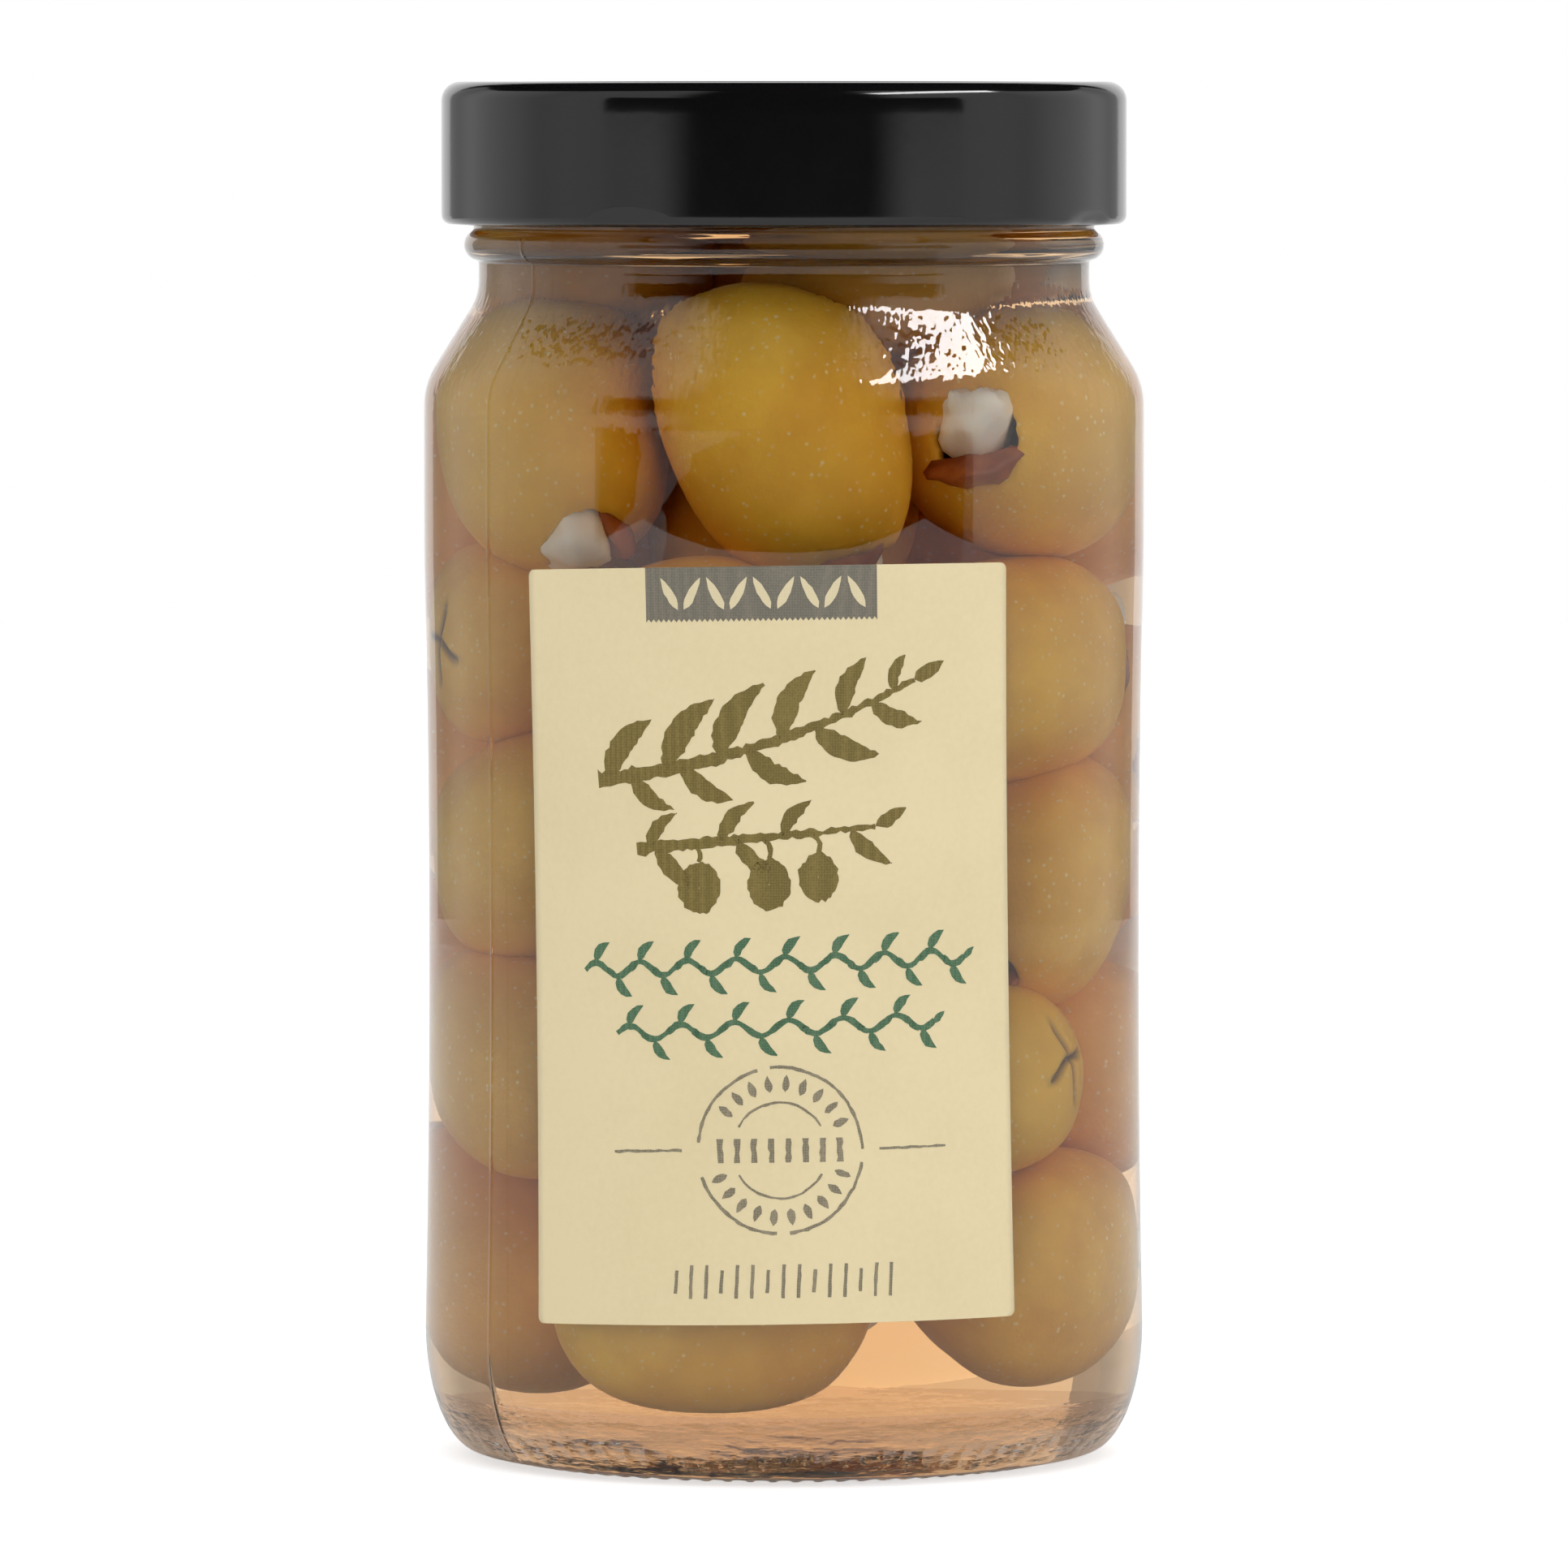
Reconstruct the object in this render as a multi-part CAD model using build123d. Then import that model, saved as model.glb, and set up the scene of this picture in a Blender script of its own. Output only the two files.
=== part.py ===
from build123d import *
import math
import os

os.makedirs("parts", exist_ok=True)

# A glass grocery jar of olives in brine, shut with a twist-off lid, in millimetres.
# The origin is the middle of the base on the surface that the jar stands on, +Z is up,
# the label faces -Y and +X is to the right of someone who reads it.

# Glass jar, outside
jar_height = 146.0  # standing surface to rim
neck_radius = 32.45  # just under the bead
neck_height = 2.2  # plain neck between the shoulder and the bead
shoulder_step = 5.85  # how much wider the body is than the neck
shoulder_angle = 32.0  # of the cone, from upright
neck_blend_radius = 5.3  # hollow bend between neck and cone
shoulder_blend_radius = 7.9  # round bend between cone and body
band_height = 15.4  # plain band between the shoulder and the label panel
waist_depth = 0.45  # how far the label panel curves in at half its height
heel_height = 13.9  # top of the rounded heel
heel_drop = 13.25  # height of the heel's quarter ellipse
heel_width = 5.6  # width of that ellipse
foot_slope_run = 2.7  # how far the base slopes in from the heel to the bearing ring
bearing_ring_width = 3.4  # flat ring that the jar stands on
push_up = 2.6  # how far the base is domed up inside that ring
knurl_count = 80
knurl_radius = 0.55  # of each round notch in the bearing ring's edge
knurl_depth = 0.4

# Glass jar, inside
glass_wall = 2.45
floor_thickness = 2.6  # above the push-up, in the middle of the base
inner_heel_radius = 7.5
inner_floor_dome = 2.0  # how much higher the floor is in its middle than at its edge

# Finish: the part of the glass that the lid closes on
finish_step = 0.55  # how much the finish is wider than the neck
bead_radius = 1.7
bead_reach = 1.58  # how far the bead stands out from the neck
rim_round = 0.9
thread_starts = 4
thread_reach = 1.2
thread_root = 2.8  # height of a thread at its root in the wall
thread_crest = 1.0
thread_arc = 58.0  # degrees round the jar
thread_tilt = 3.0
thread_sink = 1.0  # how deep a thread is rooted in the wall

# Twist-off lid of lacquered tinplate
lid_height = 15.1
sheet = 0.25
lid_corner_radius = 2.0
curl_radius = 0.95
lid_thread_clearance = 1.95  # between the thread crests and the lid's wall
lid_bead_gap = 0.5  # between the lid's curl and the bead
panel_drop = 0.8  # of the middle panel below the lid's outer ring
panel_step_run = 1.0
panel_bore_clearance = 0.6  # between the sunk panel and the jar's mouth
button_radius = 12.0
button_rise = 0.4
button_step_run = 1.0
lug_width = 10.5
lug_height = 1.3
lug_glass_clearance = 0.4  # between a lug and the finish wall
lug_thread_clearance = 0.4  # between a lug and the thread that it catches under
lug_turn = 63.0  # degrees from the front, of the first lug and thread

# Paper label on the panel
label_arc = 54.1
label_top_margin = 0.6  # label to the upper end of the panel
label_bottom_margin = 3.2  # label to the lower end of the panel
label_paper = 0.12
label_corner_radius = 0.7
label_lean = 0.95  # degrees that its right side stands higher
label_turn = -2.5  # degrees round the jar from dead front

# Olives in brine
head_space = 10.0  # rim down to the brine

# Places that follow from those sizes
body_radius = neck_radius + shoulder_step
finish_radius = neck_radius + finish_step
bore_radius = neck_radius - glass_wall
inner_radius = body_radius - glass_wall
thread_radius = finish_radius + thread_reach
lid_inner_radius = thread_radius + lid_thread_clearance
lid_radius = lid_inner_radius + sheet
lid_top = jar_height + sheet
lid_bottom = lid_top - lid_height
bead_center_z = lid_bottom - lid_bead_gap - bead_radius
neck_bottom = bead_center_z - bead_radius - neck_height
slope = math.radians(shoulder_angle)
blends_step = (neck_blend_radius + shoulder_blend_radius) * (1 - math.cos(slope))
cone_height = (shoulder_step - blends_step) / math.tan(slope)
blends_height = (neck_blend_radius + shoulder_blend_radius) * math.sin(slope)
body_top = neck_bottom - cone_height - blends_height
panel_top = body_top - band_height
heel_bottom = heel_height - heel_drop
foot_radius = body_radius - heel_width
ring_radius = foot_radius - foot_slope_run
floor_edge = push_up + floor_thickness - inner_floor_dome
lug_z = lid_bottom + curl_radius
thread_z = lug_z + lug_height / 2 + lug_thread_clearance + thread_root / 2


def turned(outline, degrees=360):
    """The solid swept about the jar's axis by a closed outline of radius and height."""
    return revolve(make_face(Plane.XZ * outline), Axis.Z, degrees)


def path(*points):
    """Straight runs through points of radius and height."""
    return Polyline(*points)


def panel_curve(radius):
    """The label panel's hollow upright curve, where its two ends have this radius."""
    middle = (panel_top + heel_height) / 2
    return ThreePointArc((radius, panel_top), (radius - waist_depth, middle), (radius, heel_height))


def shoulder_curves(inset):
    """Neck to body: a hollow bend, a cone and a round bend, this far in from the outside."""
    neck_bend = neck_blend_radius + inset
    body_bend = shoulder_blend_radius - inset
    neck_center = neck_radius + neck_blend_radius
    body_center = body_radius - shoulder_blend_radius

    def on_neck_bend(angle):
        return (neck_center - neck_bend * math.cos(angle), neck_bottom - neck_bend * math.sin(angle))

    def on_body_bend(angle):
        return (body_center + body_bend * math.cos(angle), body_top + body_bend * math.sin(angle))

    return (
        ThreePointArc(on_neck_bend(0), on_neck_bend(slope / 2), on_neck_bend(slope))
        + path(on_neck_bend(slope), on_body_bend(slope))
        + ThreePointArc(on_body_bend(slope), on_body_bend(slope / 2), on_body_bend(0))
    )


def rim_curve():
    """Rounded rim, from the outside of the finish over to the bore."""
    round_share = rim_round * (1 - math.sqrt(0.5))
    top = jar_height
    outer_mid = (finish_radius - round_share, top - round_share)
    inner_mid = (bore_radius + round_share, top - round_share)
    return (
        ThreePointArc((finish_radius, top - rim_round), outer_mid, (finish_radius - rim_round, top))
        + path((finish_radius - rim_round, top), (bore_radius + rim_round, top))
        + ThreePointArc((bore_radius + rim_round, top), inner_mid, (bore_radius, top - rim_round))
    )


def outer_curves():
    """Outside of the glass, from the rim down to the bearing ring."""
    bead_axis = neck_radius + bead_reach - bead_radius
    bead_rise_top = math.sqrt(bead_radius**2 - (finish_radius - bead_axis) ** 2)
    bead_rise_low = math.sqrt(bead_radius**2 - (neck_radius - bead_axis) ** 2)
    bead_over = (finish_radius, bead_center_z + bead_rise_top)
    bead_crest = (bead_axis + bead_radius, bead_center_z)
    bead_under = (neck_radius, bead_center_z - bead_rise_low)
    heel = EllipticalCenterArc((foot_radius, heel_height), heel_width, heel_drop, 270, arc_size=90)
    return (
        path((finish_radius, jar_height - rim_round), bead_over)
        + ThreePointArc(bead_over, bead_crest, bead_under)
        + path(bead_under, (neck_radius, neck_bottom))
        + shoulder_curves(0)
        + path((body_radius, body_top), (body_radius, panel_top))
        + panel_curve(body_radius)
        + heel
        + path((foot_radius, heel_bottom), (ring_radius, 0))
    )


def dome_curve(radius, height, rise):
    """A shallow round dome, from its edge in to the axis."""
    sphere = (radius**2 + rise**2) / (2 * rise)
    center_z = height + rise - sphere
    half_angle = math.asin(radius / sphere) / 2
    middle = (sphere * math.sin(half_angle), center_z + sphere * math.cos(half_angle))
    return ThreePointArc((radius, height), middle, (0, height + rise))


def base_curves():
    """Underside, from the bearing ring's outer edge in to the axis."""
    ring_inside = ring_radius - bearing_ring_width
    return path((ring_radius, 0), (ring_inside, 0)) + dome_curve(ring_inside, 0, push_up)


def inner_curves(top):
    """Inside of the glass, from this height on the bore down to the axis."""
    heel_axis = inner_radius - inner_heel_radius
    heel_top = floor_edge + inner_heel_radius
    heel_mid = (
        heel_axis + inner_heel_radius * math.sqrt(0.5),
        heel_top - inner_heel_radius * math.sqrt(0.5),
    )
    return (
        path((bore_radius, top), (bore_radius, neck_bottom))
        + shoulder_curves(glass_wall)
        + path((inner_radius, body_top), (inner_radius, heel_top))
        + ThreePointArc((inner_radius, heel_top), heel_mid, (heel_axis, floor_edge))
        + dome_curve(heel_axis, floor_edge, inner_floor_dome)
    )


def thread_ridge():
    """One thread start on the finish, centred on +X."""
    section = path(
        (finish_radius - thread_sink, -thread_root / 2),
        (thread_radius, -thread_crest / 2),
        (thread_radius, thread_crest / 2),
        (finish_radius - thread_sink, thread_root / 2),
        (finish_radius - thread_sink, -thread_root / 2),
    )
    ridge = Rot(0, 0, -thread_arc / 2) * turned(section, thread_arc)
    return Pos(0, 0, thread_z) * Rot(thread_tilt, 0, 0) * ridge


def around(count, piece):
    """Copies of a piece made on +X, evenly round the jar from the first lug's place."""
    return [Rot(0, 0, lug_turn - 90 + index * 360 / count) * piece for index in range(count)]


def make_glass_jar():
    hollow = inner_curves(jar_height - rim_round)
    underside = base_curves()
    axis_line = path((0, floor_edge + inner_floor_dome), (0, push_up))
    jar = turned(rim_curve() + outer_curves() + underside + axis_line + hollow)
    jar = jar + around(thread_starts, thread_ridge())
    notch = Pos(ring_radius, 0, 0) * Cylinder(knurl_radius, 2 * knurl_depth)
    return jar - around(knurl_count, notch)


def lid_outline():
    """Section of the lid's sheet, with its rolled curl, as a closed outline."""
    panel_radius = bore_radius - panel_bore_clearance
    panel_z = lid_top - panel_drop
    button_z = panel_z + button_rise
    corner_axis = (lid_radius - lid_corner_radius, lid_top - lid_corner_radius)
    curl_axis = (lid_radius - curl_radius, lid_bottom + curl_radius)
    curl_end = math.acos((curl_radius - sheet) / curl_radius)

    def corner_point(radius, angle):
        return (corner_axis[0] + radius * math.cos(angle), corner_axis[1] + radius * math.sin(angle))

    def curl_point(angle):
        return (curl_axis[0] + curl_radius * math.cos(angle), curl_axis[1] + curl_radius * math.sin(angle))

    def corner(radius):
        return ThreePointArc(
            corner_point(radius, math.pi / 2),
            corner_point(radius, math.pi / 4),
            corner_point(radius, 0),
        )

    def panel(drop, edge):
        return path(
            (0, button_z - drop),
            (button_radius - button_step_run, button_z - drop),
            (button_radius, panel_z - drop),
            (panel_radius - panel_step_run, panel_z - drop),
            (panel_radius, lid_top - drop),
            edge,
        )

    inner_corner = lid_corner_radius - sheet
    return (
        panel(0, corner_point(lid_corner_radius, math.pi / 2))
        + corner(lid_corner_radius)
        + path(corner_point(lid_corner_radius, 0), curl_point(0))
        + ThreePointArc(curl_point(0), curl_point((curl_end - 2 * math.pi) / 2), curl_point(curl_end))
        + path(curl_point(curl_end), corner_point(inner_corner, 0))
        + corner(inner_corner)
        + panel(sheet, corner_point(inner_corner, math.pi / 2))
        + path((0, button_z - sheet), (0, button_z))
    )


def lug():
    """One lug on the inside of the curl, centred on +X."""
    reach_in = finish_radius + lug_glass_clearance
    reach_out = lid_radius - curl_radius
    degrees = math.degrees(lug_width / lid_radius)
    low, high = lug_z - lug_height / 2, lug_z + lug_height / 2
    section = path(
        (reach_in, low), (reach_out, low), (reach_out, high), (reach_in, high), (reach_in, low)
    )
    return Rot(0, 0, -degrees / 2) * turned(section, degrees)


def make_lid():
    return turned(lid_outline()) + around(thread_starts, lug())


def make_label():
    """A rounded rectangle of paper wrapped round the label panel."""
    skin = turned(
        panel_curve(body_radius)
        + path((body_radius, heel_height), (body_radius + label_paper, heel_height))
        + panel_curve(body_radius + label_paper)
        + path((body_radius, panel_top), (body_radius + label_paper, panel_top))
    )
    label_bottom = heel_height + label_bottom_margin
    label_top = panel_top - label_top_margin
    width = 2 * body_radius * math.sin(label_arc / body_radius / 2)
    shape = RectangleRounded(width, label_top - label_bottom, label_corner_radius)
    cutter = extrude(Plane.XZ * shape, amount=2 * body_radius)
    cutter = Rot(0, -label_lean, 0) * cutter
    cutter = Pos(0, 0, (label_bottom + label_top) / 2) * cutter
    return Rot(0, 0, label_turn) * (skin & cutter)


def make_olives_in_brine():
    """All that the glass holds, as one solid that fills it up to the brine's level."""
    level = jar_height - head_space
    surface = path((0, floor_edge + inner_floor_dome), (0, level), (bore_radius, level))
    return turned(surface + inner_curves(level))


pieces = {
    "glass_jar": make_glass_jar(),
    "lid": make_lid(),
    "label": make_label(),
    "olives_in_brine": make_olives_in_brine(),
}
for name, piece in pieces.items():
    export_step(piece, f"parts/{name}.step")
    box = piece.bounding_box()
    print(name, "volume", round(piece.volume), "from", box.min, "to", box.max)
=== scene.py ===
# %% [markdown]
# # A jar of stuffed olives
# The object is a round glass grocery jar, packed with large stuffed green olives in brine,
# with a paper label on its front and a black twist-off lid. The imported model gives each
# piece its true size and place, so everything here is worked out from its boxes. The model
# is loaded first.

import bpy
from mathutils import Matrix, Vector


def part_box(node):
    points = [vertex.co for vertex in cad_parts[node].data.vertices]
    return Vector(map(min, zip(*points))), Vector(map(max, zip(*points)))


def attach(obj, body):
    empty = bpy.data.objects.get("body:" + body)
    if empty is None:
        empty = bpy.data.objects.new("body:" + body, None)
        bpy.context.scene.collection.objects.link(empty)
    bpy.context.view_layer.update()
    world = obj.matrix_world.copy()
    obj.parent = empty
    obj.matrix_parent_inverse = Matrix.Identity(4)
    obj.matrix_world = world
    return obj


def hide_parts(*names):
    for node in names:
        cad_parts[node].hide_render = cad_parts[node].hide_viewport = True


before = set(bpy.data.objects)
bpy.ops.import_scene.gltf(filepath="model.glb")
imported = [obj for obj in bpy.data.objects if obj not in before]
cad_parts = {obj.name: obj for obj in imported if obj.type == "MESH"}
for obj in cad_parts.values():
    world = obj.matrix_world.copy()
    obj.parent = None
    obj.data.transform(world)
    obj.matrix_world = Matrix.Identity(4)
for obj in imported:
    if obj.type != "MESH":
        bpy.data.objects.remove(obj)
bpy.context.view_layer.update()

# %% [markdown]
# ## Sizes
# A jar maker's drawing is in millimetres, so this script thinks in millimetres too and
# turns them into Blender's metres only where a mesh is made. The large sizes come from the
# frame's boxes. The small ones, such as the bends of the shoulder, are the drawing's own.

# %% Sizes from the frame
import math

import bpy
import numpy as np
from mathutils import Vector

MM = 0.001
glass_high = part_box("glass_jar")[1]
lid_low, lid_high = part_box("lid")
brine_low, brine_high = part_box("olives_in_brine")
body_radius = glass_high[0] / MM
rim_height = glass_high[2] / MM
lid_radius = lid_high[0] / MM
lid_bottom = lid_low[2] / MM
lid_top = lid_high[2] / MM
inner_radius = brine_high[0] / MM
brine_level = brine_high[2] / MM
floor_edge = brine_low[2] / MM
glass_wall = body_radius - inner_radius
print("body", round(body_radius, 2), "wall", round(glass_wall, 2), "rim at", round(rim_height, 2))
print("lid", round(lid_radius, 2), "from", round(lid_bottom, 2), "to", round(lid_top, 2))

# %% [markdown]
# ## Making a piece
# Every piece here is a mesh of points and faces. One helper turns them into an object,
# shades it smooth, and says which body it rides on, which finish it has and which of the
# frame's nodes it stands for. All the pieces ride on the one body of the jar.


# %% Helper for pieces
def make_piece(name, points, faces, finishes, stands_for=(), finish_of_face=None):
    """A smooth mesh object from points in millimetres, riding on the jar's body."""
    mesh = bpy.data.meshes.new(name)
    mesh.from_pydata((np.asarray(points, float) * MM).tolist(), [], [list(f) for f in faces])
    for finish in finishes:
        mesh.materials.append(finish)
    mesh.polygons.foreach_set("use_smooth", [True] * len(mesh.polygons))
    if finish_of_face is not None:
        mesh.polygons.foreach_set("material_index", [int(i) for i in finish_of_face])
    mesh.update()
    piece = bpy.data.objects.new(name, mesh)
    bpy.context.scene.collection.objects.link(piece)
    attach(piece, "root")
    if stands_for:
        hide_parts(*stands_for)
    print(name, len(mesh.vertices), "points,", len(mesh.polygons), "faces")
    return piece


# %% [markdown]
# ## Drawing a section
# Glass, brine and lid are all round, so half of a cut through each of them says it all: a
# line of radius and height. The line is drawn from straight runs and arcs. It is then
# softened a little, because molten glass and pressed sheet have no sharp corners, and
# thinned out so that points stay only where it bends.


# %% Helpers for sections
def run(*corners):
    """Straight runs through corners of radius and height, with points every quarter mm."""
    pieces = []
    for start, end in zip(corners, corners[1:]):
        start, end = np.array(start, float), np.array(end, float)
        count = max(2, int(np.linalg.norm(end - start) / 0.25))
        pieces.append(start + (end - start) * np.linspace(0, 1, count)[:, None])
    return np.vstack(pieces)


def arc(center, radii, start, end):
    """An arc of an ellipse about a centre, between two angles in degrees."""
    count = max(4, int(abs(math.radians(end - start)) * max(radii) / 0.25))
    angles = np.radians(np.linspace(start, end, count))
    return np.column_stack(
        [center[0] + radii[0] * np.cos(angles), center[1] + radii[1] * np.sin(angles)]
    )


def soften(section, radius):
    """The section with its corners rounded over about this radius, its ends kept."""
    keep = np.r_[True, np.linalg.norm(np.diff(section, axis=0), axis=1) > 1e-6]
    section = section[keep]
    along = np.r_[0, np.cumsum(np.linalg.norm(np.diff(section, axis=0), axis=1))]
    even = np.arange(0, along[-1], 0.1)
    smooth = np.column_stack([np.interp(even, along, section[:, k]) for k in (0, 1)])
    reach = int(radius / 0.1)
    weights = np.hanning(2 * reach + 3)[1:-1]
    padded = np.pad(smooth, ((reach, reach), (0, 0)), mode="reflect", reflect_type="odd")
    rounded = [np.convolve(padded[:, k], weights / weights.sum(), mode="valid") for k in (0, 1)]
    return np.vstack([np.column_stack(rounded), section[-1:]])


def thin_out(section, longest, bend):
    """Keeps a point after this many millimetres or degrees of bend, whichever comes first.

    longest is one number, or one for each step of the section."""
    steps = np.diff(section, axis=0)
    lengths = np.linalg.norm(steps, axis=1)
    headings = np.unwrap(np.arctan2(steps[:, 1], steps[:, 0]))
    turns = np.degrees(np.abs(np.diff(headings, prepend=headings[0])))
    need = np.cumsum(lengths / longest + turns / bend)
    marks = np.floor(need).astype(int)
    keep = np.r_[True, marks[1:] > marks[:-1], True]
    return section[keep]


quarter = arc((0, 0), (5, 5), 0, 90)
print("a quarter turn has", len(quarter), "points, and thinned", len(thin_out(quarter, 4, 10)))

# %% [markdown]
# ## Carrying a section round
# A pot is turned on a lathe, and so are these: the section is carried round the axis in
# many steps, with four-sided faces between them. The spin tool or the screw modifier would
# do that too. Doing it here lets each point be moved on its way, by its radius, its height
# and how far round it is, which is how the mould's marks and the lid's lugs are made.


# %% Helpers for turned shapes
def fade(value, start, full):
    """0 before start, 1 past full, and a smooth rise between them."""
    share = np.clip((value - start) / (full - start), 0, 1)
    return share * share * (3 - 2 * share)


def grid_faces(rows, columns, closed=False, turned_over=False, start=0):
    """Four-sided faces of a grid of points, row after row. Its rows may close on themselves."""
    steps = columns if closed else columns - 1
    row, column = np.meshgrid(np.arange(rows - 1), np.arange(steps), indexing="ij")
    here = start + row * columns + column
    there = start + row * columns + (column + 1) % columns
    corners = [here, there, there + columns, here + columns]
    if turned_over:
        corners = [corners[k] for k in (0, 3, 2, 1)]
    return np.stack(corners, axis=-1).reshape(-1, 4).tolist()


def drop_repeats(quad, section, columns):
    """A face without the points that meet on the axis."""
    joined = []
    for point in quad:
        row = point // columns
        point = row * columns if section[row][0] < 1e-4 else point
        if point not in joined:
            joined.append(point)
    return joined


def turn(section, azimuths, place=None, from_the_top=False):
    """Points and faces of a section carried round the axis. Azimuth 0 is the front, -Y.

    place may move each point: it takes radius, height and azimuth arrays and returns the
    new radius and height. An end of the section on the axis becomes a single point. A
    section drawn from the top down says so, for its faces to look outwards too."""
    radius, azimuth = np.meshgrid(section[:, 0], azimuths, indexing="ij")
    height = np.repeat(section[:, 1:2], len(azimuths), axis=1)
    if place:
        radius, height = place(radius, height, azimuth)
    points = np.stack(
        [radius * np.sin(azimuth), -radius * np.cos(azimuth), height], axis=-1
    ).reshape(-1, 3)
    columns = len(azimuths)
    quads = grid_faces(len(section), columns, closed=True, turned_over=from_the_top)
    return points, [drop_repeats(quad, section, columns) for quad in quads]


tube_points, tube_faces = turn(np.array([[5, 0], [5, 9]]), np.radians(np.arange(0, 360, 45)))
print("a plain tube has", len(tube_points), "points and", len(tube_faces), "faces")

# %% [markdown]
# ## The glass section
# The jar is blown in a two-part mould. Seen in section it has a knurled ring to stand on,
# a rounded heel, a label panel that is drawn in a hair, a shoulder with two bends, a bead
# that the filling line grips, and the finish that takes the lid. The inside follows the
# outside at a wall's distance. Its floor is thick, with the base pushed up under it.

# %% Outside of the glass
neck_radius = 32.45
neck_height = 2.2
finish_step = 0.55
finish_radius = neck_radius + finish_step
bore_radius = neck_radius - glass_wall
bead_radius = 1.7
bead_center = (neck_radius + 1.58 - bead_radius, lid_bottom - 0.5 - bead_radius)
neck_bottom = bead_center[1] - bead_radius - neck_height
shoulder_angle = 32.0
neck_bend, body_bend = 5.3, 7.9
band_height = 15.4
waist_depth = 0.45
heel_height, heel_drop, heel_width = 13.9, 13.25, 5.6
foot_slope_run, ring_width = 2.7, 3.4
foot_radius = body_radius - heel_width
ring_radius = foot_radius - foot_slope_run
ring_inside = ring_radius - ring_width
push_up = 2.6
rim_round = 0.9

slope = math.radians(shoulder_angle)
bends = neck_bend + body_bend
cone_height = (body_radius - neck_radius - bends * (1 - math.cos(slope))) / math.tan(slope)
body_top = neck_bottom - cone_height - bends * math.sin(slope)
panel_top = body_top - band_height


def shoulder(inset):
    """The shoulder from the body up to the neck, this far inside the outer surface."""
    low = arc((body_radius - body_bend, body_top), (body_bend - inset,) * 2, 0, shoulder_angle)
    high = arc(
        (neck_radius + neck_bend, neck_bottom), (neck_bend + inset,) * 2, 180 + shoulder_angle, 180
    )
    return np.vstack([low, high])


def panel_inset(height):
    """How far the label panel is drawn in at a height, as part of a flat circle."""
    middle, half = (panel_top + heel_height) / 2, (panel_top - heel_height) / 2
    share = np.clip(1 - ((height - middle) / half) ** 2, 0, 1)
    return waist_depth * share


panel_heights = np.linspace(heel_height, panel_top, 160)
soft_shoulder = soften(
    np.vstack(
        [
            run((body_radius, body_top - 5), (body_radius, body_top)),
            shoulder(0),
            run((neck_radius, neck_bottom), (neck_radius, bead_center[1] - bead_radius)),
        ]
    ),
    1.0,
)
push_dome = (ring_inside**2 + push_up**2) / (2 * push_up)
push_edge = 90 - math.degrees(math.asin(ring_inside / push_dome))
underside = np.vstack(
    [
        arc((0, push_up - push_dome), (push_dome, push_dome), 90, push_edge),
        run((ring_inside, 0), (ring_radius, 0), (foot_radius, heel_height - heel_drop)),
    ]
)
body_outside = np.vstack(
    [
        arc((foot_radius, heel_height), (heel_width, heel_drop), 270, 360),
        np.column_stack([body_radius - panel_inset(panel_heights), panel_heights]),
        run((body_radius, panel_top), (body_radius, body_top - 5)),
        soft_shoulder,
        arc(bead_center, (bead_radius,) * 2, -86, 66),
        run((finish_radius, bead_center[1] + bead_radius), (finish_radius, rim_height - rim_round)),
    ]
)
outside = np.vstack([soften(underside, 0.35), soften(body_outside, 0.6)])
print("shoulder from", round(body_top, 1), "to", round(neck_bottom, 1), "mm")

# %% [markdown]
# ## The inside of the glass
# A bubble of hot glass is blown out until it meets the mould, so the inside only follows
# the outside at a wall's distance, and its corners come out rounder. It is drawn apart
# from the outside, because the floor is thicker than the wall and rises a little in the
# middle. The same line later tells the brine and the olives how much room they have.

# %% Inside of the glass
heel_inside = 7.5
floor_rise = 2.0
floor_axis = inner_radius - heel_inside
dome = (floor_axis**2 + floor_rise**2) / (2 * floor_rise)

inside_wall = np.vstack(
    [
        arc((floor_axis, floor_edge + heel_inside), (heel_inside,) * 2, 270, 360),
        run((inner_radius, floor_edge + heel_inside), (inner_radius, body_top)),
        shoulder(glass_wall),
        run((bore_radius, neck_bottom), (bore_radius, rim_height - rim_round)),
    ]
)
floor = arc(
    (0, floor_edge + floor_rise - dome),
    (dome, dome),
    90,
    90 - math.degrees(math.asin(floor_axis / dome)),
)
inside = soften(np.vstack([floor, inside_wall]), 0.8)
rim = np.vstack(
    [
        arc((finish_radius - rim_round, rim_height - rim_round), (rim_round,) * 2, 0, 90),
        arc((bore_radius + rim_round, rim_height - rim_round), (rim_round,) * 2, 90, 180),
    ]
)


def wall_at(height):
    """Inner radius of the glass at a height."""
    return np.interp(height, inside_wall[:, 1], inside_wall[:, 0])


print("inner radius", round(inner_radius, 2), "bore", round(bore_radius, 2))

# %% [markdown]
# ## What the mould leaves on the glass
# Real jars aren't perfect. The two mould halves leave a thin seam on each side. The ring
# under the heel is knurled, so that the hot jar touches its conveyor at few points. The
# inner face is shaped by air alone, so it is gently uneven, and that unevenness is what
# bends the view into the jar. All three are moved points, so the shape really has them.
# Four short threads on the finish catch the lid's lugs.

# %% Marks of the mould
first_lug = math.radians(63.0)
seams = np.radians([-54.0, 126.0])
knurls = 80
knurl_depth = 0.5
seam_height = 0.1
seam_width = 0.22
thread_reach = 1.2
thread_height = lid_bottom + 3.6


def uneven_inside(height, azimuth):
    """The inner face's slow waves, in millimetres."""
    return (
        0.10 * np.sin(3 * azimuth + height / 17 + 0.6)
        + 0.07 * np.sin(5 * azimuth - height / 11 + 2.1)
        + 0.05 * np.sin(2 * azimuth + height / 5.5 + 4.0)
    )


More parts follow.
